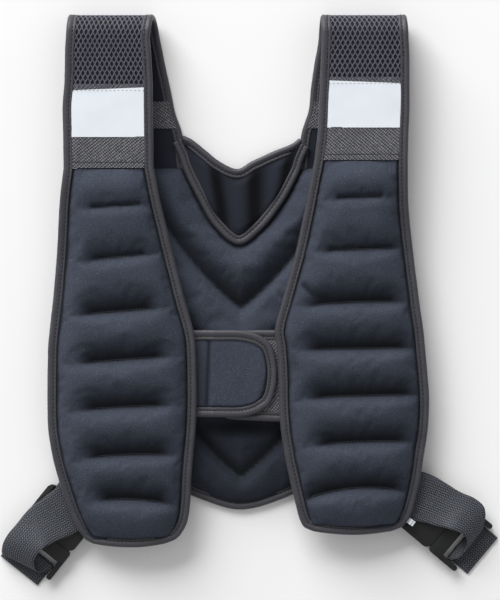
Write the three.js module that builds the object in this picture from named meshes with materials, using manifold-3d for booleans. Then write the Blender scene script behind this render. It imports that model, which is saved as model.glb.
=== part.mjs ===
// Weighted vest, laid on its back. Two front halves hang from shoulder straps on a shared back.
// Millimetres: +X to the wearer's left as the vest lies, +Y to the shoulders, +Z up from the floor.
// The origin is on the flat outside of the back panel, which lies on the floor. The two sides are
// called left and right as seen from above.

import * as THREE from "three";
import { mergeVertices } from "three/addons/utils/BufferGeometryUtils.js";
import Module from "manifold-3d";

// Driving dimensions of the body
const shoulderTop = 380;
const strapLength = 156;
const strapWidth = 88;
const neckGap = 178.4;
const panelLength = 396;
const panelWidth = 154;
const backLength = 280;
const backWidth = 345;
const neckDepth = 236;
const yokeHeight = 76;
const yokeWidth = 127;

// Levels above the floor: the straps' middle planes, behind and in front
const backLevel = 4;
const frontLevel = 38;

// The front halves lie a little to one side of the back's middle line
const frontShift = -4.9;

// Padding and cloth
const rimThickness = 5.5;
const frontPuff = 12;
const frontUnderPuff = 4;
const backPuff = 12.5;
const outerDroop = 10;
const innerDroop = 4;
const endDroop = 8;
const liningThickness = 2;
const meshThickness = 2.6;
const patchThickness = 2.1;
const twillThickness = 2.4;
const yokeThickness = 3;

// Binding folded over the edges
const bindingWidth = 6.5;
const bindingHeight = 6.4;
const yokeBindingHeight = 5;

// Chest closure
const flapLength = 90;
const flapHeight = 90.5;
const flapThickness = 2.6;
const tabLength = 66;
const tabHeight = 96;
const tabThickness = 2.2;
const closureBindingWidth = 5.5;
const closureBindingHeight = 3.8;
const flapBulge = 1.2;
const tabBulge = 0.6;

// Side webbing and its buckles
const webbingWidth = 49.6;
const webbingThickness = 2;
const buckleWidth = 63;
const femaleLength = 45;
const maleLength = 36.6;
const buckleMiddle = 42;
const buckleThickness = 12.2;
const buckleWall = 2.8;
const railWidth = 5.8;
const barRadius = 1.6;
const barAlong = 28;
const barUp = 4.6;
const rearBarWidth = 4.7;
const rearBarHeight = 5;

// Corner radii of the buckle's plates
const femaleCorner = 7;
const maleCorner = 4;
const railCorner = 2.4;
const latchCorner = 2;

// Inside the buckle, measured along it from its middle and across it from its middle line: the
// socket, the slot for the webbing, the side windows, the male half's body, tongue, arms and latches
const socketEnd = -28;
const slotEnd = -31;
const windowSpan = [-17.5, -5];
const windowInset = 0.6;
const maleBodyLength = 15.6;
const railRoot = 10;
const railDrop = 2.1;
const railLift = 0.6;
const tongueTip = -24;
const tongueHalfWidth = 5;
const armTip = -16;
const armSides = [17, 21.5];
const armClearance = 1;
const latchSpan = [-16.5, -6];
const latchInset = 0.5;

// How far parts that are joined or cut run past each other
const overcut = 1;
const bite = 2;

// The webbing's tail under the buckle, and the stub, measured out from the buckle's rear end
const tailEnd = 52;
const tailMiddle = 0.6;
const wrapSteps = 6;
const stubRoot = 18;
const stubBend = 10;
const stubRest = 2;
const stubBendTop = 7.4;
const stubBendLow = 2.7;
const seatGap = 0.1;

// Clearances
const seam = 0.3;
const slack = 0.4;

// Dents of the quilting. A stitch fades past its ends by a share of the panel's width, and a crease
// by a number of sections to each side of the middle.
const stitchWidth = 7;
const stitchDepth = 0.72;
const stitchFade = 0.13;
const creaseWidth = 9;
const creaseDepth = 0.6;
const creaseReach = 9;

// Shape of the padding: how far in from an edge it rises, how far the lower end bows out, the share
// of the length over which the edges sink, and the lifted rim under the back
const edgeRise = 30;
const endSag = 3.5;
const droopEnd = 0.25;
const heelShare = 0.08;
const yokeLift = 4;

// Colours, from the cloth, webbing and plastic
const looks = {
  neoprene: { color: 0x2b2e38, roughness: 0.95, metalness: 0 },
  yoke: { color: 0x23272f, roughness: 0.95, metalness: 0 },
  binding: { color: 0x1b1d22, roughness: 0.75, metalness: 0 },
  mesh: { color: 0x24262c, roughness: 0.8, metalness: 0 },
  twill: { color: 0x3a3a3f, roughness: 0.85, metalness: 0 },
  reflective: { color: 0xdfe6ee, roughness: 0.45, metalness: 0.1 },
  webbing: { color: 0x26272b, roughness: 0.8, metalness: 0 },
  plastic: { color: 0x1a1b1e, roughness: 0.4, metalness: 0 },
};

// Front halves. Edges are shares of the panel's width outward and inward of the strap's inner line,
// and "down" is a share of the panel's length below the shoulder seam.
const leftOutline = [
  { down: 0, outer: 0.584, inner: 0.024 },
  { down: 0.093, outer: 0.611, inner: 0.073 },
  { down: 0.219, outer: 0.631, inner: 0.152 },
  { down: 0.345, outer: 0.658, inner: 0.234 },
  { down: 0.424, outer: 0.681, inner: 0.291 },
  { down: 0.477, outer: 0.692, inner: 0.309 },
  { down: 0.608, outer: 0.696, inner: 0.314 },
  { down: 0.679, outer: 0.692, inner: 0.307 },
  { down: 0.75, outer: 0.665, inner: 0.291 },
  { down: 0.802, outer: 0.631, inner: 0.28 },
  { down: 0.873, outer: 0.574, inner: 0.27 },
  { down: 0.926, outer: 0.523, inner: 0.25 },
  { down: 0.96, outer: 0.473, inner: 0.206 },
  { down: 0.976, outer: 0.436, inner: 0.162 },
  { down: 0.986, outer: 0.39, inner: 0.091 },
];
const rightOutline = [
  { down: 0, outer: 0.577, inner: 0.054 },
  { down: 0.114, outer: 0.581, inner: 0.111 },
  { down: 0.24, outer: 0.615, inner: 0.18 },
  { down: 0.366, outer: 0.655, inner: 0.268 },
  { down: 0.445, outer: 0.684, inner: 0.32 },
  { down: 0.498, outer: 0.698, inner: 0.304 },
  { down: 0.577, outer: 0.716, inner: 0.292 },
  { down: 0.629, outer: 0.724, inner: 0.292 },
  { down: 0.7, outer: 0.716, inner: 0.28 },
  { down: 0.771, outer: 0.689, inner: 0.253 },
  { down: 0.842, outer: 0.662, inner: 0.216 },
  { down: 0.918, outer: 0.615, inner: 0.169 },
  { down: 0.947, outer: 0.581, inner: 0.145 },
  { down: 0.963, outer: 0.54, inner: 0.118 },
  { down: 0.974, outer: 0.47, inner: 0.054 },
];

// Quilting: each stitch runs from one share of the width to another, from the outer edge inward
const leftStitches = [
  { down: 0.097, from: 0.33, to: 0.8 },
  { down: 0.23, from: 0.34, to: 0.74 },
  { down: 0.372, from: 0.3, to: 0.69 },
  { down: 0.5, from: 0.31, to: 0.72 },
  { down: 0.624, from: 0.32, to: 0.72 },
  { down: 0.75, from: 0.33, to: 0.76 },
  { down: 0.868, from: 0.36, to: 0.76 },
];
const rightStitches = [
  { down: 0.096, from: 0.26, to: 0.69 },
  { down: 0.231, from: 0.18, to: 0.7 },
  { down: 0.369, from: 0.22, to: 0.72 },
  { down: 0.492, from: 0.18, to: 0.71 },
  { down: 0.615, from: 0.17, to: 0.71 },
  { down: 0.737, from: 0.2, to: 0.68 },
  { down: 0.86, from: 0.2, to: 0.86 },
];

// Straps. "reach" is a share of the strap's length below the fold, and the edges are shares of its
// width outward and inward of the strap's inner line.
const leftStrapFront = [
  { reach: 0.14, outer: 0.993, inner: 0 },
  { reach: 0.26, outer: 1.005, inner: 0.012 },
  { reach: 0.44, outer: 1.01, inner: 0.03 },
  { reach: 0.61, outer: 1.031, inner: 0.033 },
  { reach: 0.82, outer: 1.026, inner: 0.038 },
];
const leftStrapBack = [
  { reach: 0.14, outer: 0.95, inner: 0.103 },
  { reach: 0.33, outer: 0.95, inner: 0.171 },
  { reach: 0.477, outer: 0.945, inner: 0.225 },
  { reach: 0.65, outer: 0.935, inner: 0.29 },
  { reach: 0.79, outer: 0.92, inner: 0.372 },
];
const rightStrapFront = [
  { reach: 0.14, outer: 1.016, inner: 0.006 },
  { reach: 0.26, outer: 1.028, inner: 0.014 },
  { reach: 0.44, outer: 1.028, inner: 0.024 },
  { reach: 0.63, outer: 1.028, inner: 0.04 },
  { reach: 0.79, outer: 1.016, inner: 0.052 },
];
const rightStrapBack = [
  { reach: 0.14, outer: 0.985, inner: 0.035 },
  { reach: 0.35, outer: 0.99, inner: 0.095 },
  { reach: 0.497, outer: 0.99, inner: 0.13 },
  { reach: 0.63, outer: 0.99, inner: 0.154 },
  { reach: 0.79, outer: 0.99, inner: 0.24 },
];

// The outside of a strap behind: where the twill band ends, as a share of the way up from the seam
const backBandShare = 0.345;

// The back, its left half: a row for each section round the U of the pad, from the shoulder seam
// to the middle. "vee" is a share of the way along the V, and the edge is in shares of the back's
// half width and of its length below the tip of the V.
const backRows = [
  { vee: 0, across: 0.995, down: -0.273 },
  { vee: 0.13, across: 1.013, down: -0.024 },
  { vee: 0.25, across: 1.025, down: 0.218 },
  { vee: 0.35, across: 1.007, down: 0.448 },
  { vee: 0.41, across: 0.947, down: 0.608 },
  { vee: 0.44, across: 0.868, down: 0.727 },
  { vee: 0.463, across: 0.645, down: 0.835 },
  { vee: 0.478, across: 0.458, down: 0.898 },
  { vee: 0.49, across: 0.235, down: 0.963 },
  { vee: 0.5, across: 0, down: 1 },
];

// The side webbing is sewn to the straight edge between this row of the back and the next
const webbingRow = 5;

// Chevron creases of the back pad: shares of the way from the V to the lower edge
const backCreases = [0.24, 0.56, 0.87];

// The neck yoke: the wavy neck edge and the V under it, from the left strap to the right one.
// Shares of the yoke's width from the middle, and of its height above the tip of the V.
const neckRows = [
  { topAcross: -0.471, topUp: 1.464, veeAcross: -0.487, veeUp: 1.184 },
  { topAcross: -0.401, topUp: 1.403, veeAcross: -0.45, veeUp: 1.005 },
  { topAcross: -0.287, topUp: 1.252, veeAcross: -0.328, veeUp: 0.594 },
  { topAcross: -0.172, topUp: 1.101, veeAcross: -0.197, veeUp: 0.232 },
  { topAcross: -0.027, topUp: 1, veeAcross: -0.021, veeUp: 0 },
  { topAcross: 0.082, topUp: 1.101, veeAcross: 0.139, veeUp: 0.177 },
  { topAcross: 0.287, topUp: 1.259, veeAcross: 0.328, veeUp: 0.567 },
  { topAcross: 0.418, topUp: 1.348, veeAcross: 0.467, veeUp: 1.005 },
  { topAcross: 0.479, topUp: 1.423, veeAcross: 0.487, veeUp: 1.115 },
];
const veeEnds = [
  { across: -0.54, up: 1.37 },
  { across: 0.54, up: 1.31 },
];

// Chest flap from the left half and the tab under it from the right half: shares of their lengths
// and of the flap's height, with "upper" measured down and "lower" up from the nominal edges
const flapRows = [
  { along: 0, upper: 0, lower: 0 },
  { along: 0.17, upper: 0, lower: 0 },
  { along: 0.22, upper: 0, lower: 0 },
  { along: 0.27, upper: 0, lower: 0 },
  { along: 0.58, upper: 0.005, lower: 0 },
  { along: 0.77, upper: 0.045, lower: 0.046 },
  { along: 0.86, upper: 0.092, lower: 0.1 },
  { along: 0.92, upper: 0.144, lower: 0.15 },
  { along: 0.965, upper: 0.23, lower: 0.24 },
  { along: 0.99, upper: 0.33, lower: 0.34 },
];
const tabRows = [
  { along: 0, upper: 0, lower: 0 },
  { along: 0.5, upper: 0, lower: 0.02 },
  { along: 0.88, upper: 0.01, lower: 0.035 },
  { along: 0.96, upper: 0.05, lower: 0.075 },
  { along: 0.99, upper: 0.12, lower: 0.14 },
];

// Where the flap's upper edge lies down the panels, how far the flap and the tab reach in under
// them, and the step of the flap down onto the tab as shares of its length
const flapDown = 0.424;
const closureSeat = 7;
const tabSeat = 6.2;
const flapStepFrom = 0.14;
const flapStepLength = 0.13;
const plateShares = [0.33, 0.67];

// The webbing over each buckle, in the buckle's own directions: "along" from its middle outward,
// "across" to the side, "up" from the floor, as shares of the webbing's width. The far edge is the
// one toward the shoulders.
const leftWebbing = [
  { farAlong: -1.6, farAcross: -0.28, farUp: 0.41, nearAlong: -1.46, nearAcross: 0.72, nearUp: 0.41 },
  { farAlong: -1.24, farAcross: -0.38, farUp: 0.37, nearAlong: -1.04, nearAcross: 0.63, nearUp: 0.37 },
  { farAlong: -0.88, farAcross: -0.466, farUp: 0.33, nearAlong: -0.6, nearAcross: 0.53, nearUp: 0.325 },
  { farAlong: -0.5, farAcross: -0.55, farUp: 0.32, nearAlong: -0.2, nearAcross: 0.36, nearUp: 0.35 },
  { farAlong: -0.16, farAcross: -0.64, farUp: 0.32, nearAlong: 0.12, nearAcross: 0.18, nearUp: 0.46 },
  { farAlong: 0.28, farAcross: -0.654, farUp: 0.32, nearAlong: 0.34, nearAcross: 0.1, nearUp: 0.56 },
  { farAlong: 0.6, farAcross: -0.66, farUp: 0.31, nearAlong: 0.54, nearAcross: 0.088, nearUp: 0.52 },
  { farAlong: 0.84, farAcross: -0.6, farUp: 0.27, nearAlong: 0.7, nearAcross: 0.14, nearUp: 0.41 },
  { farAlong: 0.97, farAcross: -0.51, farUp: 0.2, nearAlong: 0.786, nearAcross: 0.28, nearUp: 0.29 },
  { farAlong: 0.9, farAcross: -0.5, farUp: 0.15, nearAlong: 0.76, nearAcross: 0.42, nearUp: 0.18 },
];
const rightWebbing = [
  { farAlong: -1.6, farAcross: 0.4, farUp: 0.375, nearAlong: -1.52, nearAcross: -0.62, nearUp: 0.385 },
  { farAlong: -1.24, farAcross: 0.48, farUp: 0.37, nearAlong: -1.14, nearAcross: -0.54, nearUp: 0.37 },
  { farAlong: -0.92, farAcross: 0.61, farUp: 0.33, nearAlong: -0.76, nearAcross: -0.43, nearUp: 0.33 },
  { farAlong: -0.56, farAcross: 0.68, farUp: 0.33, nearAlong: -0.4, nearAcross: -0.26, nearUp: 0.35 },
  { farAlong: -0.2, farAcross: 0.73, farUp: 0.33, nearAlong: -0.1, nearAcross: -0.11, nearUp: 0.44 },
  { farAlong: 0.1, farAcross: 0.82, farUp: 0.33, nearAlong: 0.18, nearAcross: 0.02, nearUp: 0.54 },
  { farAlong: 0.36, farAcross: 0.82, farUp: 0.32, nearAlong: 0.4, nearAcross: 0.084, nearUp: 0.5 },
  { farAlong: 0.52, farAcross: 0.7, farUp: 0.3, nearAlong: 0.57, nearAcross: 0.03, nearUp: 0.41 },
  { farAlong: 0.64, farAcross: 0.504, farUp: 0.25, nearAlong: 0.67, nearAcross: -0.18, nearUp: 0.29 },
  { farAlong: 0.65, farAcross: 0.5, farUp: 0.19, nearAlong: 0.66, nearAcross: -0.4, nearUp: 0.19 },
];

// The two sides: sign across, the way from fold to seam as a share of the strap's length, where the
// twill band and the reflective patch end above the seam as shares of that way, and where the
// buckle lies from the panel's lower outer corner, in widths of webbing
const sides = [
  {
    name: "left",
    sign: -1,
    seamShare: 1.026,
    outline: leftOutline,
    stitches: leftStitches,
    strapFront: leftStrapFront,
    strapBack: leftStrapBack,
    webbing: leftWebbing,
    farSide: -1,
    twillEnd: 0.2045,
    patchEnd: 0.523,
    buckleOut: 0.347,
    buckleDown: 0.675,
    buckleTurn: -128.46,
  },
  {
    name: "right",
    sign: 1,
    seamShare: 0.973,
    outline: rightOutline,
    stitches: rightStitches,
    strapFront: rightStrapFront,
    strapBack: rightStrapBack,
    webbing: rightWebbing,
    farSide: 1,
    twillEnd: 0.226,
    patchEnd: 0.545,
    buckleOut: 0.589,
    buckleDown: 0.677,
    buckleTurn: -40,
  },
];

// The panel's lower outer corner, as a share of its length below the seam
const cornerDown = 0.873;

// Rows of the meshes: round a strap's fold, above the first stitch and below the last one
const strapFoldSteps = 8;
const firstDown = 0.03;
const lowRows = [0.4, 0.68, 0.88, 1];

// Values worked out from the dimensions
const halfSeam = seam / 2;
const foldRadius = (frontLevel - backLevel) / 2;
const foldCentreY = shoulderTop - foldRadius - halfSeam - meshThickness;
const coreInset = bindingWidth + seam;
const halfRim = rimThickness / 2;
const rimTop = backLevel + halfRim - seam;
const veeTip = shoulderTop - neckDepth;
const backSeamY = veeTip - backRows[0].down * backLength;
const heelLift = rimThickness / 8;

const wasm = await Module();
wasm.setup();

const vec = (x, y, z) => new THREE.Vector3(x, y, z);
const mix = (a, b, t) => a + (b - a) * t;
const clamp01 = (t) => Math.min(1, Math.max(0, t));
const smooth = (t) => clamp01(t) * clamp01(t) * (3 - 2 * clamp01(t));
const bell = (distance, width) => Math.exp(-((distance / width) ** 2));
const puffAt = (distance) => 1 - (1 - clamp01(distance / edgeRise)) ** 2.2;

// A smooth reading of one column of a table at a place along another column
function column(rows, place, name) {
  return (at) => {
    const last = rows.length - 2;
    const found = rows.findIndex((row) => row[place] > at) - 1;
    const i = at >= rows[last + 1][place] ? last : Math.max(0, Math.min(last, found));
    const slope = (k) => {
      const a = rows[Math.max(0, k - 1)];
      const b = rows[Math.min(rows.length - 1, k + 1)];
      return (b[name] - a[name]) / (b[place] - a[place]);
    };
    const span = rows[i + 1][place] - rows[i][place];
    const t = (at - rows[i][place]) / span;
    const bend = span * t * (1 - t);
    const straight = mix(rows[i][name], rows[i + 1][name], t * t * (3 - 2 * t));
    return straight + bend * ((1 - t) * slope(i) - t * slope(i + 1));
  };
}

// Closed geometry from points and triangles, turned so that its faces point outward
function closed(points, triangles) {
  let volume = 0;
  for (const [a, b, c] of triangles) {
    volume += points[a].dot(vec(0, 0, 0).crossVectors(points[b], points[c]));
  }
  const order = volume < 0 ? triangles.map(([a, b, c]) => [a, c, b]) : triangles;
  const geometry = new THREE.BufferGeometry();
  const flat = points.flatMap((p) => [p.x, p.y, p.z]);
  geometry.setAttribute("position", new THREE.Float32BufferAttribute(flat, 3));
  geometry.setIndex(order.flat());
  geometry.computeVertexNormals();
  return geometry;
}

// A body through rings of equal count, with a flat cap at each end
function loft(rings) {
  const n = rings[0].length;
  const triangles = [];
  for (let i = 0; i + 1 < rings.length; i += 1) {
    for (let k = 0; k < n; k += 1) {
      const a = i * n + k;
      const b = i * n + ((k + 1) % n);
      triangles.push([a, b, b + n], [a, b + n, a + n]);
    }
  }
  const end = (rings.length - 1) * n;
  for (let k = 1; k + 1 < n; k += 1) {
    triangles.push([0, k + 1, k], [end, end + k, end + k + 1]);
  }
  return closed(rings.flat(), triangles);
}

// A padded body between an upper and a lower grid, which have the same rows and any columns
function pad(upper, lower) {
  const points = [...upper.flat(), ...lower.flat()];
  const triangles = [];
  const index = (grid, i, k) => (grid === upper ? 0 : upper.flat().length) + i * grid[0].length + k;
  for (const grid of [upper, lower]) {
    for (let i = 0; i + 1 < grid.length; i += 1) {
      for (let k = 0; k + 1 < grid[0].length; k += 1) {
        const a = index(grid, i, k);
        const c = index(grid, i + 1, k + 1);
        const quad = [[a, index(grid, i + 1, k), c], [a, c, index(grid, i, k + 1)]];
        triangles.push(...(grid === upper ? quad : quad.map(([p, q, r]) => [p, r, q])));
      }
    }
  }
  const last = upper.length - 1;
  const rim = (grid) => {
    const wide = grid[0].length - 1;
    const across = [...Array(wide + 1).keys()];
    const down = [...Array(last + 1).keys()];
    return [
      down.map((i) => index(grid, i, 0)),
      across.map((k) => index(grid, last, k)),
      down.map((i) => index(grid, last - i, wide)),
      across.map((k) => index(grid, 0, wide - k)),
    ];
  };
  const rims = [rim(upper), rim(lower)];
  for (let side = 0; side < 4; side += 1) {
    const [a, b] = [rims[0][side], rims[1][side]];
    for (let i = 0, j = 0; i + 1 < a.length || j + 1 < b.length;) {
      const stepUpper = j + 1 === b.length || (i + 1) / (a.length - 1) <= (j + 1) / (b.length - 1);
      if (stepUpper && i + 1 < a.length) {
        triangles.push([a[i], b[j], a[i + 1]]);
        i += 1;
      } else {
        triangles.push([a[i], b[j], b[j + 1]]);
        j += 1;
      }
    }
  }
  return closed(points, triangles);
}

// Adds to each point of an edge the direction out of the cloth, square to the edge
function withOutward(edge, sign) {
  return edge.map((point, i) => {
    const before = edge[Math.max(0, i - 1)];
    const after = edge[Math.min(edge.length - 1, i + 1)];
    const tangent = after.at.clone().sub(before.at).normalize();
    const out = vec(0, 0, 0).crossVectors(tangent, point.up).multiplyScalar(sign).normalize();
    return { ...point, out };
  });
}

const inward = (point, distance) => point.at.clone().addScaledVector(point.out, -distance);

// Binding along an edge: a six-sided roll whose outside is the finished edge
function binding(edge, width, height) {
  const corners = [[0, -0.55], [0, 0.55], [-0.35, 1], [-1, 0.6], [-1, -0.6], [-0.35, -1]];
  const rings = edge.map((point) =>
    corners.map(([side, up]) =>
      point.at
        .clone()
        .addScaledVector(point.out, side * width)
        .addScaledVector(point.up, (up * height) / 2),
    ),
  );
  return loft(rings);
}

// A flat band through stations, each with its two edge points
function ribbon(stations, thickness) {
  const middles = stations.map(({ far, near }) => far.clone().add(near).multiplyScalar(0.5));
  const rings = stations.map(({ far, near }, i) => {
    const before = middles[Math.max(0, i - 1)];
    const after = middles[Math.min(middles.length - 1, i + 1)];
    const run = after.clone().sub(before);
    const normal = vec(0, 0, 0).crossVectors(near.clone().sub(far), run).normalize();
    const half = normal.multiplyScalar(thickness / 2);
    return [
      far.clone().add(half),
      near.clone().add(half),
      near.clone().sub(half),
      far.clone().sub(half),
    ];
  });
  return loft(rings);
}

// Solids for joining and cutting
function solid(geometry) {
  const bare = geometry.clone();
  bare.deleteAttribute("normal");
  bare.deleteAttribute("uv");
  const merged = mergeVertices(bare, 1e-5);
  return new wasm.Manifold(
    new wasm.Mesh({
      numProp: 3,
      vertProperties: new Float32Array(merged.getAttribute("position").array),
      triVerts: new Uint32Array(merged.getIndex().array),
    }),
  );
}

function geometryOf(manifold) {
  const mesh = manifold.getMesh();
  const geometry = new THREE.BufferGeometry();
  geometry.setAttribute("position", new THREE.BufferAttribute(new Float32Array(mesh.vertProperties), 3));
  geometry.setIndex(new THREE.BufferAttribute(new Uint32Array(mesh.triVerts), 1));
  geometry.computeVertexNormals();
  return geometry;
}

const join = (solids) => solids.reduce((sum, next) => sum.add(next));
const cut = (body, tools) => tools.reduce((rest, tool) => rest.subtract(tool), body);

function block(along, across, up) {
  const size = [along, across, up].map(([low, high]) => high - low);
  const middle = [along, across, up].map(([low, high]) => (low + high) / 2);
  return solid(new THREE.BoxGeometry(...size).translate(...middle));
}

// A plate with round corners, lying flat
function roundedPlate(along, across, up, corner) {
  const [a, b] = along;
  const [c, d] = across;
  const shape = new THREE.Shape();
  shape.moveTo(a + corner, c);
  shape.lineTo(b - corner, c);
  shape.absarc(b - corner, c + corner, corner, -Math.PI / 2, 0);
  shape.lineTo(b, d - corner);
  shape.absarc(b - corner, d - corner, corner, 0, Math.PI / 2);
  shape.lineTo(a + corner, d);
  shape.absarc(a + corner, d - corner, corner, Math.PI / 2, Math.PI);
  shape.lineTo(a, c + corner);
  shape.absarc(a + corner, c + corner, corner, Math.PI, Math.PI * 1.5);
  const options = { depth: up[1] - up[0], bevelEnabled: false, curveSegments: 4 };
  return solid(new THREE.ExtrudeGeometry(shape, options).translate(0, 0, up[0]));
}

const vest = new THREE.Group();

function add(name, look, geometry, parent = vest) {
  const mesh = new THREE.Mesh(geometry, new THREE.MeshStandardMaterial(looks[look]));
  mesh.name = name;
  parent.add(mesh);
  return mesh;
}

// Where a front half lies: a place by its share across, from the outer edge in, and its share down
function frontHalf(side) {
  const line = frontShift + (side.sign * neckGap) / 2;
  const seamY = shoulderTop - side.seamShare * strapLength;
  const outer = column(side.outline, "down", "outer");
  const inner = column(side.outline, "down", "inner");
  const outerX = (down) => line + side.sign * outer(down) * panelWidth;
  const innerX = (down) => line - side.sign * inner(down) * panelWidth;
  const level = (share, down) => {
    const eased = smooth(down / droopEnd);
    const acrossDroop = outerDroop * (1 - share) ** 2 + innerDroop * share ** 2;
    return frontLevel - eased * acrossDroop - endDroop * down ** 4;
  };
  return { line, seamY, outerX, innerX, level };
}

// Stations of a strap from the front seam over the fold to the back seam
function strapStations(side, half) {
  const { line, seamY } = half;
  const place = (row, y, z, up) => ({
    outer: vec(line + side.sign * row.outer * strapWidth, y, z),
    inner: vec(line - side.sign * row.inner * strapWidth, y, z),
    up,
  });
  const legY = (row) => Math.min(foldCentreY, shoulderTop - row.reach * strapLength);
  const [front, behind] = [side.strapFront, side.strapBack];
  const seamEdges = { outer: half.outerX(0), inner: half.innerX(0) };
  const stations = [
    {
      outer: vec(seamEdges.outer, seamY, frontLevel),
      inner: vec(seamEdges.inner, seamY, frontLevel),
      up: vec(0, 0, 1),
    },
  ];
  for (const row of [...front].reverse()) {
    stations.push(place(row, legY(row), frontLevel, vec(0, 0, 1)));
  }
  for (let i = 1; i < strapFoldSteps; i += 1) {
    const t = i / strapFoldSteps;
    const up = vec(0, Math.sin(t * Math.PI), Math.cos(t * Math.PI));
    const row = {
      outer: mix(front[0].outer, behind[0].outer, t),
      inner: mix(front[0].inner, behind[0].inner, t),
    };
    const y = foldCentreY + foldRadius * up.y;
    stations.push(place(row, y, backLevel + foldRadius + foldRadius * up.z, up));
  }
  for (const row of behind) {
    stations.push(place(row, legY(row), backLevel, vec(0, 0, -1)));
  }
  const seamInner = side.sign < 0 ? vee[0].at.x : vee[vee.length - 1].at.x;
  stations.push({
    outer: vec((side.sign * backRows[0].across * backWidth) / 2, backSeamY, backLevel),
    inner: vec(seamInner, backSeamY, backLevel),
    up: vec(0, 0, -1),
  });
  return stations;
}

// The finished edge of a bound piece that runs from its root to a free end, and its core inside
// the binding. "rows" has an edge point on each side, and "end" the points across the free end.
function bound({ before = [], rows, end, after = [], sign, inset }) {
  const sideA = rows.map((row) => ({ at: row.a, up: row.up }));
  const sideB = rows.map((row) => ({ at: row.b, up: row.up })).reverse();
  const edge = withOutward([...before, ...sideA, ...end, ...sideB, ...after], sign);
  const core = edge.map((point) => inward(point, inset));
  const first = before.length;
  const n = rows.length;
  const last = first + n + end.length;
  return {
    edge,
    coreBefore: core.slice(0, first),
    coreRows: rows.map((row, i) => ({ a: core[first + i], b: core[last + n - 1 - i] })),
    coreEnd: core.slice(first + n, last),
    coreAfter: core.slice(last + n),
  };
}

// The V line of the yoke, and the back pad's upper rim under it
const veePoint = (across, up, z) => vec(across * yokeWidth, veeTip + up * yokeHeight, z);
const veeLevel = rimTop + seam + slack + yokeBindingHeight / 2;
const fine = (points, steps) =>
  new THREE.CatmullRomCurve3(points, false, "centripetal").getPoints((points.length - 1) * steps);

const veeInner = fine(
  neckRows.slice(1, -1).map((row) => veePoint(row.veeAcross, row.veeUp, veeLevel)),
  3,
);
const vee = veeInner.map((at) => ({ at, up: vec(0, 0, 1) }));

// The back pad: from the V to the outer edge, all round the U
function makeBack() {
  const lefts = backRows.map((row) => ({ ...row, across: -row.across }));
  const rights = backRows.slice(0, -1).map((row) => ({ ...row, vee: 1 - row.vee }));
  const rows = [...lefts, ...rights.reverse()].map((row, step) => ({ ...row, step }));
  const read = ["vee", "across", "down"].map((name) => column(rows, "step", name));
  const veeCurve = new THREE.CatmullRomCurve3(veeInner, false, "centripetal");
  const sections = [];
  for (let i = 0; i <= (rows.length - 1) * 2; i += 1) {
    const [along, across, down] = read.map((at) => at(i / 2));
    const edge = vec((across * backWidth) / 2, veeTip - down * backLength, backLevel);
    sections.push({ neck: veeCurve.getPointAt(clamp01(along)), edge });
  }
  for (const i of [webbingRow * 2 + 1, sections.length - 2 - webbingRow * 2]) {
    sections[i].edge = sections[i - 1].edge.clone().lerp(sections[i + 1].edge, 0.5);
  }
  const edge = withOutward(sections.map((section) => ({ at: section.edge, up: vec(0, 0, 1) })), 1);
  const shares = [
    0, 0.035, 0.09, 0.165, 0.215, 0.24, 0.265, 0.33, 0.43, 0.52,
    0.56, 0.6, 0.68, 0.76, 0.83, 0.87, 0.91, 0.955, 1,
  ];
  const heels = [0, heelShare, 1 - heelShare, 1];
  const middle = (sections.length - 1) / 2;
  const upper = [];
  const lower = [];
  sections.forEach((section, i) => {
    const rim = inward(edge[i], coreInset);
    const atEnd = i === 0 || i === sections.length - 1;
    const place = (share) => {
      const p = section.neck.clone().lerp(rim, share);
      return vec(p.x, atEnd ? backSeamY - halfSeam : p.y, 0);
    };
    const length = section.neck.distanceTo(rim);
    const fade = bell(i - middle, creaseReach);
    const fromSeam = Math.min(i, sections.length - 1 - i) * edgeRise;
    const creaseAt = (share) =>
      backCreases.reduce((rest, at) => {
        const dent = creaseDepth * fade * bell((share - at) * length, creaseWidth);
        return rest * (1 - dent);
      }, 1);
    upper.push(
      shares.map((share) => {
        const clear = Math.max(0, share * length - bindingWidth / 2 - slack);
        const inside = puffAt(clear) * puffAt((1 - share) * length) * puffAt(fromSeam);
        return place(share).setZ(rimTop + backPuff * inside * creaseAt(share));
      }),
    );
    lower.push(heels.map((share) => place(share).setZ(share % 1 === 0 || atEnd ? heelLift : 0)));
  });
  add("back_panel", "neoprene", pad(upper, lower));
  add("back_binding", "binding", binding(edge, bindingWidth, bindingHeight));
  return edge;
}

// The thin yoke between the neck edge and the V
function makeYoke() {
  const tops = fine(
    neckRows.map((row, i) => {
      const lift = yokeLift * Math.sin((Math.PI * i) / (neckRows.length - 1));
      return veePoint(row.topAcross, row.topUp, backLevel + slack + lift);
    }),
    2,
  );
  const vees = fine(
    [
      veePoint(veeEnds[0].across, veeEnds[0].up, veeLevel),
      ...neckRows.map((row) => veePoint(row.veeAcross, row.veeUp, veeLevel)),
      veePoint(veeEnds[1].across, veeEnds[1].up, veeLevel),
    ],
    2,
  );
  const neckEdge = withOutward(tops.map((at) => ({ at, up: vec(0, 0, 1) })), -1);
  const veeLine = withOutward(vees.map((at) => ({ at, up: vec(0, 0, 1) })), 1);
  const veeOuter = veeLine.map((point) => ({ ...point, at: inward(point, -bindingWidth / 2) }));
  add("neck_binding", "binding", binding(neckEdge, bindingWidth, bindingHeight));
  add("yoke_binding", "binding", binding(veeOuter, bindingWidth, yokeBindingHeight));
  const upper = [];
  const lower = [];
  neckEdge.forEach((point, i) => {
    const top = inward(point, coreInset);
    const low = inward(veeLine[i + 2], bindingWidth / 2 + seam);
    const at = [0, 0.5, 1].map((share) => top.clone().lerp(low, share));
    upper.push(at.map((p) => p.clone().setZ(p.z + yokeThickness / 2)));
    lower.push(at.map((p) => p.clone().setZ(p.z - yokeThickness / 2)));
  });
  add("neck_yoke", "yoke", pad(upper, lower));
}

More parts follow.
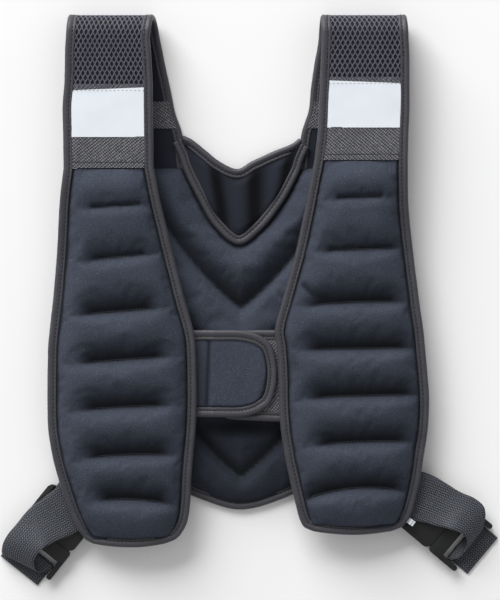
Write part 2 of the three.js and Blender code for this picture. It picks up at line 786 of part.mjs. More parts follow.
// One front half: its padded panel, its strap and the binding round both
function makeFront(side) {
  const half = frontHalf(side);
  const stations = strapStations(side, half);
  const shares = [0, 0.045, 0.13, 0.28, 0.5, 0.72, 0.87, 0.955, 1];
  const lastDown = side.outline[side.outline.length - 1].down;
  const groove = stitchWidth / panelLength;
  const downs = [firstDown];
  side.stitches.forEach((stitch, i) => {
    if (i > 0) downs.push((side.stitches[i - 1].down + stitch.down) / 2);
    downs.push(stitch.down - groove, stitch.down, stitch.down + groove);
  });
  const tail = downs[downs.length - 1];
  for (const share of lowRows) {
    downs.push(mix(tail, lastDown, share));
  }
  const yAt = (down) => half.seamY - down * panelLength;
  const rows = downs.map((down) => ({
    a: vec(half.outerX(down), yAt(down), half.level(0, down)),
    b: vec(half.innerX(down), yAt(down), half.level(1, down)),
    up: vec(0, 0, 1),
  }));
  const [endA, endB] = [rows[rows.length - 1].a, rows[rows.length - 1].b];
  const end = shares.slice(1, -1).map((share) => {
    const at = endA.clone().lerp(endB, share);
    at.y -= endSag * (1 - (2 * share - 1) ** 2);
    return { at: at.setZ(half.level(share, lastDown)), up: vec(0, 0, 1) };
  });
  const outers = stations.map(({ outer, up }) => ({ at: outer, up })).reverse();
  const inners = stations.map(({ inner, up }) => ({ at: inner, up }));
  const piece = bound({ before: outers, rows, end, after: inners, sign: -side.sign, inset: coreInset });

  const seamA = piece.coreBefore[outers.length - 1];
  const seamB = piece.coreAfter[0];
  const drop = vec(0, -halfSeam, 0);
  const coreRows = [{ a: seamA.clone().add(drop), b: seamB.clone().add(drop) }, ...piece.coreRows];
  const dentAt = (share, down) =>
    side.stitches.reduce((rest, stitch) => {
      const outside = Math.max(0, stitch.from - share, share - stitch.to);
      const across = bell(outside, stitchFade);
      const along = bell((down - stitch.down) * panelLength, stitchWidth);
      return rest * (1 - stitchDepth * across * along);
    }, 1);
  const grid = (columns, heightAt) =>
    coreRows.map(({ a, b }, i) => {
      const down = i === 0 ? 0 : downs[i - 1];
      const width = a.distanceTo(b);
      return columns.map((k) => {
        const share = shares[k];
        const isEnd = i === coreRows.length - 1 && k > 0 && k < shares.length - 1;
        const p = isEnd ? piece.coreEnd[k - 1].clone() : a.clone().lerp(b, share);
        const fromEnds = puffAt(down * panelLength) * puffAt((lastDown - down) * panelLength);
        const puff = puffAt(share * width) * puffAt((1 - share) * width) * fromEnds;
        return p.setZ(half.level(share, down) + heightAt(share, down, puff));
      });
    });
  const upper = grid([0, 1, 2, 3, 4, 5, 6, 7, 8], (share, down, puff) =>
    halfRim + frontPuff * puff * dentAt(share, down));
  const lower = grid([0, 2, 4, 6, 8], (share, down, puff) => -halfRim - frontUnderPuff * puff);
  add(`front_panel_${side.name}`, "neoprene", pad(upper, lower));
  add(`edge_binding_${side.name}`, "binding", binding(piece.edge.slice(0, -1), bindingWidth, bindingHeight));

  makeStrap(side, half, stations, piece);
  return half;
}

// The layers of a strap: lining inside, and mesh, patch and twill bands outside
function makeStrap(side, half, stations, piece) {
  const outers = [...piece.coreBefore].reverse();
  const core = stations.map(({ up }, i) => ({ a: outers[i].clone(), b: piece.coreAfter[i].clone(), up }));
  for (const [section, y] of [[core[0], half.seamY], [core[core.length - 1], backSeamY]]) {
    section.a.y = y;
    section.b.y = y;
  }
  const walk = [0];
  for (let i = 1; i < core.length; i += 1) {
    const [p, q] = [i - 1, i].map((j) => stations[j].outer.clone().lerp(stations[j].inner, 0.5));
    walk.push(walk[i - 1] + Math.hypot(q.y - p.y, q.z - p.z));
  }
  const total = walk[walk.length - 1];
  const sectionAt = (place) => {
    const i = Math.max(1, walk.findIndex((w) => w >= place - 1e-9));
    const t = (place - walk[i - 1]) / (walk[i] - walk[i - 1]);
    return {
      a: core[i - 1].a.clone().lerp(core[i].a, t),
      b: core[i - 1].b.clone().lerp(core[i].b, t),
      up: core[i - 1].up.clone().lerp(core[i].up, t).normalize(),
    };
  };
  const layer = (name, look, from, to, inside, outside) => {
    const [start, stop] = [from + halfSeam, to - halfSeam];
    const between = core.filter((section, i) => walk[i] > start + 1 && walk[i] < stop - 1);
    const rings = [sectionAt(start), ...between, sectionAt(stop)].map(({ a, b, up }) => [
      a.clone().addScaledVector(up, inside),
      b.clone().addScaledVector(up, inside),
      b.clone().addScaledVector(up, outside),
      a.clone().addScaledVector(up, outside),
    ]);
    add(`${name}_${side.name}`, look, loft(rings));
  };
  const over = (thickness) => [halfSeam, halfSeam + thickness];
  const way = side.seamShare * strapLength;
  const twillTop = side.twillEnd * way;
  const patchTop = side.patchEnd * way;
  const backBand = total - backBandShare * (shoulderTop - backSeamY);
  layer("strap_lining", "yoke", 0, total, -halfSeam, -halfSeam - liningThickness);
  layer("twill_band", "twill", 0, twillTop, ...over(twillThickness));
  layer("reflective_patch", "reflective", twillTop, patchTop, ...over(patchThickness));
  layer("shoulder_mesh", "mesh", patchTop, backBand, ...over(meshThickness));
  layer("back_band", "twill", backBand, total, ...over(twillThickness));
}

// A bound flat plate from its root to its free end: the chest flap and the tab under it
function makePlate(plate) {
  const { name, look, rows, root, top, length, height, thickness, direction, levelAt, bulge } = plate;
  const edges = rows.map((row) => {
    const x = root + direction * row.along * length;
    const z = levelAt(row.along);
    return {
      a: vec(x, top - row.upper * height, z),
      b: vec(x, top - height + row.lower * height, z),
      up: vec(0, 0, 1),
    };
  });
  const last = edges[edges.length - 1];
  const end = plateShares.map((share) => {
    const at = last.a.clone().lerp(last.b, share);
    at.x += direction * bulge;
    return { at, up: vec(0, 0, 1) };
  });
  const inset = closureBindingWidth + seam;
  const piece = bound({ rows: edges, end, sign: -direction, inset });
  const grid = (offset) =>
    piece.coreRows.map(({ a, b }, i) => {
      const isEnd = i === piece.coreRows.length - 1;
      const inner = isEnd ? piece.coreEnd : plateShares.map((share) => a.clone().lerp(b, share));
      return [a, ...inner, b].map((p) => p.clone().setZ(p.z + offset));
    });
  add(name, look, pad(grid(thickness / 2), grid(-thickness / 2)));
  add(`${name}_binding`, "binding", binding(piece.edge, closureBindingWidth, closureBindingHeight));
}

function makeClosure(left, right) {
  const top = left.seamY - flapDown * panelLength;
  const lowDown = (half) => (half.seamY - top + flapHeight) / panelLength;
  const under = (half) => half.level(1, lowDown(half)) - (bindingHeight + closureBindingHeight) / 2 - slack;
  const tabLevel = under(right);
  const flapLevel = tabLevel + closureBindingHeight + slack;
  const middle = flapDown + flapHeight / panelLength / 2;
  makePlate({
    name: "chest_flap",
    look: "neoprene",
    rows: flapRows,
    root: left.innerX(middle) - closureSeat,
    top,
    length: flapLength,
    height: flapHeight,
    thickness: flapThickness,
    direction: 1,
    levelAt: (along) => mix(under(left), flapLevel, smooth((along - flapStepFrom) / flapStepLength)),
    bulge: flapBulge,
  });
  makePlate({
    name: "chest_tab",
    look: "twill",
    rows: tabRows,
    root: right.innerX(middle) + tabSeat,
    top,
    length: tabLength,
    height: tabHeight,
    thickness: tabThickness,
    direction: -1,
    levelAt: () => tabLevel,
    bulge: tabBulge,
  });
}

// A side-release buckle, lying flat: "along" runs from the back panel outward
function buckleHalves() {
  const low = slack;
  const high = slack + buckleThickness;
  const out = buckleWidth / 2;
  const inside = out - railWidth;
  const front = femaleLength - buckleMiddle;
  const rear = -buckleMiddle;
  const barEnd = rear + rearBarWidth;
  const middle = (low + high) / 2;
  const barLow = middle - rearBarHeight / 2;
  const barHigh = middle + rearBarHeight / 2;
  const cavity = [low + buckleWall, high - buckleWall];
  const windowHeight = [cavity[0] + windowInset, cavity[1] - windowInset];
  const armHeight = [cavity[0] + armClearance, cavity[1] - armClearance];
  const slotStart = [rear - overcut, barEnd + overcut];
  const female = cut(roundedPlate([rear, front], [-out, out], [low, high], femaleCorner), [
    block([socketEnd, front + overcut], [-inside, inside], cavity),
    block([barEnd, slotEnd], [-inside, inside], [low - overcut, high + overcut]),
    block(slotStart, [-inside, inside], [barHigh, high + overcut]),
    block(slotStart, [-inside, inside], [low - overcut, barLow]),
    block(windowSpan, [inside - overcut, out + overcut], windowHeight),
    block(windowSpan, [-out - overcut, overcut - inside], windowHeight),
  ]);
  const base = front + slack;
  const tip = front + maleLength;
  const bar = new THREE.CylinderGeometry(barRadius, barRadius, 2 * (inside + overcut), 10);
  const bodyEnd = base + maleBodyLength;
  const pieces = [
    roundedPlate([base, bodyEnd], [-out, out], [low + slack, high - slack], maleCorner),
    solid(bar.translate(barAlong, 0, barUp)),
    block([tongueTip, base + bite], [-tongueHalfWidth, tongueHalfWidth], armHeight),
  ];
  const railHeight = [low + railLift, high - railDrop];
  for (const sign of [-1, 1]) {
    const across = (a, b) => [Math.min(sign * a, sign * b), Math.max(sign * a, sign * b)];
    const latchSides = across(armSides[0], out - latchInset);
    pieces.push(roundedPlate([base + railRoot, tip], across(inside, out), railHeight, railCorner));
    pieces.push(block([armTip, base + bite], across(...armSides), armHeight));
    pieces.push(roundedPlate(latchSpan, latchSides, armHeight, latchCorner));
  }
  return { female: geometryOf(female), male: geometryOf(join(pieces)), barEnd, barLow, barHigh };
}

// The webbing over a buckle, once round the adjuster's bar and out under itself, and the stub that
// holds the other half of the buckle to the back
function makeWebbing(side, half, backEdge) {
  const group = new THREE.Group();
  const outX = half.outerX(cornerDown) + side.sign * side.buckleOut * webbingWidth;
  const outY = half.seamY - cornerDown * panelLength - side.buckleDown * webbingWidth;
  group.position.set(outX, outY, 0);
  group.rotation.z = THREE.MathUtils.degToRad(side.buckleTurn);
  group.updateMatrixWorld(true);
  vest.add(group);
  const { female, male, barEnd, barLow, barHigh } = buckleHalves();
  add(`buckle_female_${side.name}`, "plastic", female, group);
  add(`buckle_male_${side.name}`, "plastic", male, group);

  const w = webbingWidth;
  const wide = w / 2;
  const fars = fine(side.webbing.map((r) => vec(r.farAlong * w, r.farAcross * w, r.farUp * w)), 2);
  const nears = fine(side.webbing.map((r) => vec(r.nearAlong * w, r.nearAcross * w, r.nearUp * w)), 2);
  const flat = (along, up) => ({
    far: vec(along, side.farSide * wide, up),
    near: vec(along, -side.farSide * wide, up),
  });
  const wrap = barRadius + slack + webbingThickness / 2;
  const turned = [];
  for (let i = 0; i <= wrapSteps; i += 1) {
    const angle = Math.PI / 2 + (i / wrapSteps) * Math.PI;
    turned.push(flat(barAlong + wrap * Math.cos(angle), barUp + wrap * Math.sin(angle)));
  }
  const stations = fars.map((far, i) => ({ far, near: nears[i] }));
  const tail = [tailMiddle * tailEnd, tailEnd].map((along) => flat(along, barUp - wrap));
  const webbing = ribbon([...stations, ...turned, ...tail], webbingThickness);
  add(`side_webbing_${side.name}`, "webbing", webbing, group);

  const seats = [webbingRow, webbingRow + 1].map((row) => {
    const place = side.sign < 0 ? 2 * row : backEdge.length - 1 - 2 * row;
    return group.worldToLocal(inward(backEdge[place], -2 * seam));
  });
  const ordered = seats.sort((p, q) => side.farSide * (q.y - p.y));
  const layerGap = webbingThickness / 2 + halfSeam;
  const seat = (up) => ({ far: ordered[0].clone().setZ(up), near: ordered[1].clone().setZ(up) });
  const top = barHigh + slack + webbingThickness / 2;
  const low = barLow - slack - webbingThickness / 2;
  const turn = barEnd + slack + webbingThickness / 2;
  const round = (slack + webbingThickness / 2) * Math.SQRT1_2;
  const [root, bend, rest] = [stubRoot, stubBend, stubRest].map((out) => -buckleMiddle - out);
  const upperPath = [
    [root, backLevel + layerGap + seam],
    [bend, stubBendTop],
    [rest, top],
    [barEnd, top],
    [barEnd + round, barHigh + round],
    [turn, barHigh],
  ];
  const lowerPath = [
    [turn, barLow],
    [barEnd + round, barLow - round],
    [barEnd, low],
    [rest, low],
    [bend, stubBendLow],
    [root, backLevel - layerGap],
  ];
  const stub = [
    seat(backLevel + layerGap + seatGap),
    ...upperPath.map(([along, up]) => flat(along, up)),
    ...lowerPath.map(([along, up]) => flat(along, up)),
    seat(backLevel - layerGap - seatGap),
  ];
  add(`webbing_stub_${side.name}`, "webbing", ribbon(stub, webbingThickness), group);
}

const backEdge = makeBack();
makeYoke();
const [left, right] = sides.map(makeFront);
makeClosure(left, right);
makeWebbing(sides[0], left, backEdge);
makeWebbing(sides[1], right, backEdge);

export default vest;
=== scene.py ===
"""Weighted vest lying on its back: quilted front halves, mesh shoulders, bound edges and side webbing.

Metres, with +X across the vest, +Y to the shoulders and +Z up from the floor.
"""

import math

import bmesh
import bpy
import numpy as np
from bpy.props import FloatProperty, FloatVectorProperty, PointerProperty
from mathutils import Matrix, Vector, noise


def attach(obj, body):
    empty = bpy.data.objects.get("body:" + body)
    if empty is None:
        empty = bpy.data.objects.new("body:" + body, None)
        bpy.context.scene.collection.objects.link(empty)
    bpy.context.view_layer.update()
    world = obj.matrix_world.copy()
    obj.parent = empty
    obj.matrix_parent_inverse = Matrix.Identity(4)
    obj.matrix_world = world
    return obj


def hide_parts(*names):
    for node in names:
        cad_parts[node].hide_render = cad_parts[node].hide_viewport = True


bl_info = {
    "name": "Weighted vest",
    "version": (1, 0, 0),
    "blender": (4, 5, 0),
    "location": "3D View > Sidebar > Vest",
    "description": "Makes a padded weighted vest piece by piece",
    "category": "Add Mesh",
}

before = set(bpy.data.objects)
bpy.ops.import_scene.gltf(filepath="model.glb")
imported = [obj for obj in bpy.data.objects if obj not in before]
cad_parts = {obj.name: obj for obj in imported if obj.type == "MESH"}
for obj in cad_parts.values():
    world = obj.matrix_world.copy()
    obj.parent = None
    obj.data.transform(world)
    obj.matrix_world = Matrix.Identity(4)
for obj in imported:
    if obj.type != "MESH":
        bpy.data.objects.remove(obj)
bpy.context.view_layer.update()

MM = 0.001
UP = np.array([0.0, 0.0, 1.0])


def table(columns, *rows):
    """The rows of a table as dictionaries, by the names of its columns."""
    return [dict(zip(columns.split(), row)) for row in rows]


# Front halves: edges as shares of the panel's width outward and inward of the strap's inner line,
# and "down" as a share of the panel's length below the shoulder seam
OUTLINES = {
    "left": table(
        "down outer inner",
        (0, 0.584, 0.024), (0.093, 0.611, 0.073), (0.219, 0.631, 0.152), (0.345, 0.658, 0.234),
        (0.424, 0.681, 0.291), (0.477, 0.692, 0.309), (0.608, 0.696, 0.314), (0.679, 0.692, 0.307),
        (0.75, 0.665, 0.291), (0.802, 0.631, 0.28), (0.873, 0.574, 0.27), (0.926, 0.523, 0.25),
        (0.96, 0.473, 0.206), (0.976, 0.436, 0.162), (0.986, 0.39, 0.091),
    ),
    "right": table(
        "down outer inner",
        (0, 0.577, 0.054), (0.114, 0.581, 0.111), (0.24, 0.615, 0.18), (0.366, 0.655, 0.268),
        (0.445, 0.684, 0.32), (0.498, 0.698, 0.304), (0.577, 0.716, 0.292), (0.629, 0.724, 0.292),
        (0.7, 0.716, 0.28), (0.771, 0.689, 0.253), (0.842, 0.662, 0.216), (0.918, 0.615, 0.169),
        (0.947, 0.581, 0.145), (0.963, 0.54, 0.118), (0.974, 0.47, 0.054),
    ),
}

# Quilting lines: from one share of the width to another, tilted and curved by shares of the length
QUILTING = {
    "left": table(
        "down start stop tilt curve",
        (0.097, 0.33, 0.8, -0.004, 0.0), (0.23, 0.34, 0.74, -0.006, 0.0), (0.372, 0.3, 0.69, -0.006, 0.0),
        (0.5, 0.31, 0.72, -0.006, 0.0), (0.624, 0.32, 0.72, -0.004, 0.001), (0.75, 0.33, 0.76, -0.003, 0.002),
        (0.868, 0.36, 0.76, 0.003, 0.003),
    ),
    "right": table(
        "down start stop tilt curve",
        (0.096, 0.26, 0.69, 0.002, 0.0), (0.231, 0.18, 0.7, 0.003, 0.0), (0.369, 0.22, 0.72, 0.003, 0.002),
        (0.492, 0.18, 0.71, 0.002, 0.0), (0.615, 0.17, 0.71, 0.003, 0.001), (0.737, 0.2, 0.68, 0.003, 0.002),
        (0.86, 0.2, 0.86, 0.01, 0.012),
    ),
}

# Slanting creases at the ends of stitch lines: both ends as shares of the width and of the length
SLANTS = {
    "left": [],
    "right": table("share down far_share far_down", (0.735, 0.369, 0.885, 0.326)),
}

# Straps: "reach" as a share of the strap's length below the fold, edges as shares of its width
STRAP_FRONTS = {
    "left": table(
        "reach outer inner",
        (0.14, 0.993, 0), (0.26, 1.005, 0.012), (0.44, 1.01, 0.03), (0.61, 1.031, 0.033), (0.82, 1.026, 0.038),
    ),
    "right": table(
        "reach outer inner",
        (0.14, 1.016, 0.006), (0.26, 1.028, 0.014), (0.44, 1.028, 0.024), (0.63, 1.028, 0.04),
        (0.79, 1.016, 0.052),
    ),
}
STRAP_BACKS = {
    "left": table(
        "reach outer inner",
        (0.14, 0.95, 0.103), (0.33, 0.95, 0.171), (0.477, 0.945, 0.225), (0.65, 0.935, 0.29),
        (0.79, 0.92, 0.372),
    ),
    "right": table(
        "reach outer inner",
        (0.14, 0.985, 0.035), (0.35, 0.99, 0.095), (0.497, 0.99, 0.13), (0.63, 0.99, 0.154), (0.79, 0.99, 0.24),
    ),
}

# The back's left half, round the U of the pad: shares of the V, of the half width and of the length
BACK_ROWS = table(
    "vee across down",
    (0, 0.995, -0.273), (0.13, 1.013, -0.024), (0.25, 1.025, 0.218), (0.35, 1.007, 0.448),
    (0.41, 0.947, 0.608), (0.44, 0.868, 0.727), (0.463, 0.645, 0.835), (0.478, 0.458, 0.898),
    (0.49, 0.235, 0.963), (0.5, 0, 1),
)
BACK_CREASES = table("at depth rise", (0.24, 0.88, 0.79), (0.55, 0.85, 0.82), (0.87, 0.88, 0.8))

# The neck yoke: its wavy neck edge and the V under it, from the left strap to the right one
NECK_ROWS = table(
    "top_across top_up vee_across vee_up",
    (-0.471, 1.464, -0.487, 1.184), (-0.401, 1.403, -0.45, 1.005), (-0.287, 1.252, -0.328, 0.594),
    (-0.172, 1.101, -0.197, 0.232), (-0.027, 1, -0.021, 0), (0.082, 1.101, 0.139, 0.177),
    (0.287, 1.259, 0.328, 0.567), (0.418, 1.348, 0.467, 1.005), (0.479, 1.423, 0.487, 1.115),
)
VEE_ENDS = table("across up", (-0.54, 1.37), (0.54, 1.31))

# Soft folds of the yoke: where each starts and ends across, and how high it stands
YOKE_FOLDS = table(
    "top low width height",
    (-0.3, -0.21, 0.075, 5.0), (0.03, 0.03, 0.085, 5.4), (0.36, 0.26, 0.075, 4.0),
)

# Chest flap and the tab under it: shares of their lengths and heights
FLAP_ROWS = table(
    "along upper lower",
    (0, 0, 0), (0.3, 0, 0), (0.58, 0.005, 0), (0.77, 0.045, 0.046), (0.86, 0.092, 0.1),
    (0.92, 0.144, 0.15), (0.965, 0.23, 0.24), (0.99, 0.33, 0.34),
)
TAB_ROWS = table(
    "along upper lower",
    (0, 0, 0), (0.5, 0, 0.02), (0.88, 0.01, 0.035), (0.96, 0.05, 0.075), (0.99, 0.12, 0.14),
)

# The webbing over each buckle, in the buckle's own directions, as shares of the webbing's width
WEBBING_COLUMNS = "far_along far_across far_up near_along near_across near_up"
WEBBING = {
    "left": table(
        WEBBING_COLUMNS,
        (-1.6, -0.28, 0.41, -1.46, 0.72, 0.41), (-1.24, -0.38, 0.37, -1.04, 0.63, 0.37),
        (-0.88, -0.466, 0.33, -0.6, 0.53, 0.325), (-0.5, -0.55, 0.32, -0.2, 0.36, 0.35),
        (-0.16, -0.64, 0.32, 0.12, 0.18, 0.46), (0.28, -0.654, 0.32, 0.34, 0.1, 0.56),
        (0.6, -0.66, 0.31, 0.54, 0.088, 0.52), (0.84, -0.6, 0.27, 0.7, 0.14, 0.41),
        (0.97, -0.51, 0.2, 0.786, 0.28, 0.29), (0.9, -0.5, 0.15, 0.76, 0.42, 0.18),
    ),
    "right": table(
        WEBBING_COLUMNS,
        (-1.6, 0.4, 0.375, -1.52, -0.62, 0.385), (-1.24, 0.48, 0.37, -1.14, -0.54, 0.37),
        (-0.92, 0.61, 0.33, -0.76, -0.43, 0.33), (-0.56, 0.68, 0.33, -0.4, -0.26, 0.35),
        (-0.2, 0.73, 0.33, -0.1, -0.11, 0.44), (0.1, 0.82, 0.33, 0.18, 0.02, 0.54),
        (0.36, 0.82, 0.32, 0.4, 0.084, 0.5), (0.52, 0.7, 0.3, 0.57, 0.03, 0.41),
        (0.64, 0.504, 0.25, 0.67, -0.18, 0.29), (0.65, 0.5, 0.19, 0.66, -0.4, 0.19),
    ),
}

# The two sides: the way from fold to seam as a share of the strap's length, where the twill band
# and the patch end above the seam, and where the buckle lies from the panel's lower outer corner
SIDES = table(
    "name sign seam_share twill_end patch_end buckle_out buckle_down buckle_turn far_side",
    ("left", -1, 1.026, 0.2045, 0.523, 0.347, 0.675, -128.46, -1),
    ("right", 1, 0.973, 0.226, 0.545, 0.589, 0.677, -40, 1),
)
BACK_BAND_SHARE = 0.345
INNER_BAND = (0.0895, 0.1175)
CORNER_DOWN = 0.873
SEAM = 0.3 * MM

# The buckle's two bars and the webbing round them: along from the buckle's middle outward, and up
BAR = {"along": 28 * MM, "up": 4.6 * MM, "radius": 1.6 * MM}
REAR_BAR = {"end": -37.3 * MM, "low": 4 * MM, "middle": 6.5 * MM, "high": 9 * MM}
STUB = {"root": -60 * MM, "bend": -52 * MM, "rest": -44 * MM, "bend_top": 7.4 * MM, "bend_low": 2.7 * MM}
TAIL_END = 52 * MM
BUCKLE_GAP = 0.4 * MM

# The small pale tab beside the right webbing: its middle, its size and its turn
TAB_PLACE = (176.3 * MM, -147.4 * MM, 21.4 * MM)
TAB_SIZE = (9.5 * MM, 6 * MM, 0.9 * MM)
TAB_TURN = -35
FLAP_DOWN = 0.424

# Tape folded over an edge: how far in from the finished edge each point of its upper side lies, as
# shares of the tape's width, and its height as shares of the roll's and of the cloth's half height
TAPE_TOP = table(
    "inset roll cloth rise",
    (0.0, 0.0, 0.0, 0.0), (0.03, 0.45, 0.0, 0.0), (0.12, 0.8, 0.0, 0.0), (0.24, 0.97, 0.0, 0.0),
    (0.38, 1.0, 0.0, 0.0), (0.5, 0.86, 0.0, 0.0), (0.58, 0.4, 0.6, 0.1), (0.66, 0.0, 1.0, -0.15),
    (0.74, 0.0, 1.0, 0.3), (0.86, 0.0, 1.0, 0.6), (0.96, 0.0, 1.0, 0.5), (1.0, 0.0, 1.0, 0.0),
)
TAPE_STITCH = 0.66


def length(name, description, millimetres):
    """A length that a user can change, given in millimetres."""
    return FloatProperty(name=name, description=description, default=millimetres * MM, unit="LENGTH",
                         subtype="DISTANCE", precision=4)


def tint(name, description, colour):
    """A colour that a user can change."""
    return FloatVectorProperty(name=name, description=description, default=colour, subtype="COLOR",
                               size=3, min=0, max=1)


class VestSizes(bpy.types.PropertyGroup):
    """Sizes of the vest"""

    shoulder_top: length("Shoulder top", "From the origin to the top of the shoulder folds", 380)
    strap_length: length("Strap length", "From a shoulder fold to the seam of the front half", 156)
    strap_width: length("Strap width", "Width of a shoulder strap", 88)
    neck_gap: length("Neck gap", "Between the inner lines of the straps", 178.4)
    panel_length: length("Panel length", "From the shoulder seam to the lower edge of a front half", 396)
    panel_width: length("Panel width", "Width of a front half", 154)
    back_length: length("Back length", "From the tip of the V to the lower edge of the back", 280)
    back_width: length("Back width", "Width of the back under the arms", 345)
    neck_depth: length("Neck depth", "From the shoulder folds to the tip of the V", 236)
    yoke_height: length("Yoke height", "From the tip of the V to the neck edge", 76)
    yoke_width: length("Yoke width", "Width of the yoke between the straps", 127)
    back_level: length("Back level", "Height of the back straps' middle over the floor", 4)
    front_level: length("Front level", "Height of the front straps' middle over the floor", 38)
    front_shift: length("Front shift", "How far the front halves lie to the right", -4.9)
    front_puff: length("Front puff", "Height of the front padding over its rim", 12)
    front_under: length("Front underside", "Depth of the front padding under its rim", 4)
    back_puff: length("Back puff", "Height of the back padding over its rim", 12.5)
    outer_droop: length("Outer droop", "How far the outer edges sink", 10)
    inner_droop: length("Inner droop", "How far the inner edges sink", 4)
    end_droop: length("End droop", "How far the lower ends sink", 8)
    tape_width: length("Tape width", "Width of the folded tape on one side", 9.6)
    tape_roll: length("Tape roll", "Height of the rolled edge over its middle", 3.2)
    closure_tape: length("Closure tape", "Width of the tape round the flap and the tab", 10.4)
    stitch_pitch: length("Stitch pitch", "From one stitch of the tape to the next", 4.3)
    mesh_column: length("Mesh column", "From one zigzag yarn of the air mesh to the next", 2.6)
    mesh_row: length("Mesh row", "Height of half a diamond of the air mesh", 4.7)
    mesh_strand: length("Mesh strand", "Thickness of a strand of the air mesh", 1.35)
    flap_length: length("Flap length", "Length of the chest flap", 90)
    flap_height: length("Flap height", "Height of the chest flap", 90.5)
    tab_length: length("Tab length", "Length of the tab under the flap", 66)
    tab_height: length("Tab height", "Height of the tab under the flap", 96)
    webbing_width: length("Webbing width", "Width of the side webbing", 49.6)
    webbing_thickness: length("Webbing thickness", "Thickness of the side webbing", 2)


class VestColours(bpy.types.PropertyGroup):
    """Colours of the vest"""

    neoprene: tint("Neoprene", "Brushed jersey of the padding", (0.0436, 0.051, 0.0705))
    yoke: tint("Smooth neoprene", "Yoke and strap linings", (0.018, 0.0203, 0.03))
    tape: tint("Tape", "Folded tape round the edges", (0.04, 0.0395, 0.05))
    thread: tint("Thread", "Sewing thread", (0.005, 0.005, 0.006))
    mesh: tint("Air mesh", "Strands of the air mesh", (0.074, 0.076, 0.106))
    twill: tint("Twill", "Woven bands", (0.106, 0.107, 0.118))
    reflective: tint("Reflective cloth", "Patches on the shoulders", (0.76, 0.805, 0.862))
    webbing: tint("Webbing", "Side webbing", (0.0255, 0.0275, 0.033))
    plastic: tint("Plastic", "Buckles", (0.0075, 0.008, 0.0088))
    floor: tint("Floor", "Pale ground under the vest", (0.93, 0.93, 0.93))


class VestStage(bpy.types.PropertyGroup):
    """Floor, light and camera"""

    camera_height: length("Camera height", "Height of the camera over the vest", 4000)
    view_middle_x: length("View middle across", "Where the camera looks, across the vest", 9.4)
    view_middle_y: length("View middle along", "Where the camera looks, along the vest", 83.2)
    view_height: length("View height", "Height of the picture on the vest", 624)
    key_power: FloatProperty(name="Key light", description="Power of the large lamp", default=1450, unit="POWER")
    fill_power: FloatProperty(name="Fill light", description="Power of the soft fill", default=3, unit="POWER")
    sky: FloatProperty(name="Sky", description="Strength of the even light all round", default=0.42)


def reading(rows, place, name):
    """A smooth reading of one column of a table at places along another column."""
    x = np.array([row[place] for row in rows], float)
    y = np.array([row[name] for row in rows], float)
    slope = np.empty(len(x))
    slope[1:-1] = (y[2:] - y[:-2]) / (x[2:] - x[:-2])
    slope[0] = (y[1] - y[0]) / (x[1] - x[0])
    slope[-1] = (y[-1] - y[-2]) / (x[-1] - x[-2])

    def at(value):
        i = np.clip(np.searchsorted(x, value, side="right") - 1, 0, len(x) - 2)
        span = x[i + 1] - x[i]
        t = (value - x[i]) / span
        straight = y[i] + (y[i + 1] - y[i]) * t * t * (3 - 2 * t)
        return straight + span * t * (1 - t) * ((1 - t) * slope[i] - t * slope[i + 1])

    return at


def smooth(t):
    """An even step from 0 to 1."""
    t = np.clip(t, 0, 1)
    return t * t * (3 - 2 * t)


def bell(distance, width):
    """1 at a line, and falling off to both sides of it."""
    return np.exp(-((distance / width) ** 2))


def segment_gap(points, a, b):
    """How far points of a plane lie from the line between two of them."""
    way = b - a
    t = np.clip((points - a) @ way / (way @ way), 0, 1)
    return np.linalg.norm(points - a - t[..., None] * way, axis=-1)


def puff_at(distance, rise=30 * MM):
    """How far padding has risen at a distance from its edge, from 0 to 1."""
    return 1 - (1 - np.clip(distance / rise, 0, 1)) ** 2.2


def unit(vectors):
    """Vectors of length 1."""
    return vectors / np.maximum(np.linalg.norm(vectors, axis=-1, keepdims=True), 1e-12)


def walk_of(points):
    """The way along a line of points up to each of them."""
    return np.concatenate([[0], np.cumsum(np.linalg.norm(np.diff(points, axis=0), axis=1))])


def resampled(points, step, *others):
    """A line of points again at even steps, with other values at its points beside it."""
    walk = walk_of(points)
    keep = np.concatenate([[True], np.diff(walk) > 1e-9])
    count = max(2, int(round(walk[-1] / step)) + 1)
    places = np.linspace(0, walk[-1], count)
    made = []
    for values in (points, *others):
        made.append(np.stack([np.interp(places, walk[keep], values[keep][:, k]) for k in range(3)], axis=1))
    return made if others else made[0]


def curve_through(points, per_span=12):
    """A rounded line through a few points: a centripetal Catmull-Rom curve."""
    points = np.asarray(points, float)
    padded = np.vstack([2 * points[0] - points[1], points, 2 * points[-1] - points[-2]])
    made = []
    for p0, p1, p2, p3 in zip(padded, padded[1:], padded[2:], padded[3:]):
        d1, d2, d3 = (max(np.linalg.norm(b - a), 1e-9) ** 0.5 for a, b in ((p0, p1), (p1, p2), (p2, p3)))
        start = d2 * ((p1 - p0) / d1 - (p2 - p0) / (d1 + d2) + (p2 - p1) / d2)
        stop = d2 * ((p2 - p1) / d2 - (p3 - p1) / (d2 + d3) + (p3 - p2) / d3)
        t = np.linspace(0, 1, per_span, endpoint=False)[:, None]
        made.append(
            (2 * t**3 - 3 * t**2 + 1) * p1 + (t**3 - 2 * t**2 + t) * start
            + (3 * t**2 - 2 * t**3) * p2 + (t**3 - t**2) * stop
        )
    return np.vstack([*made, points[-1:]])


def outward(points, up, sign):
    """The directions out of a cloth, square to its edge."""
    tangent = np.gradient(points, axis=0)
    return unit(np.cross(tangent, up) * sign)


def rough(points, scale, seed=0.0):
    """Smooth noise from -1 to 1 at points, with features of about 1/scale metres."""
    flat = points.reshape(-1, 3) * scale + seed
    return np.array([noise.noise(Vector(p)) for p in flat]).reshape(points.shape[:-1])


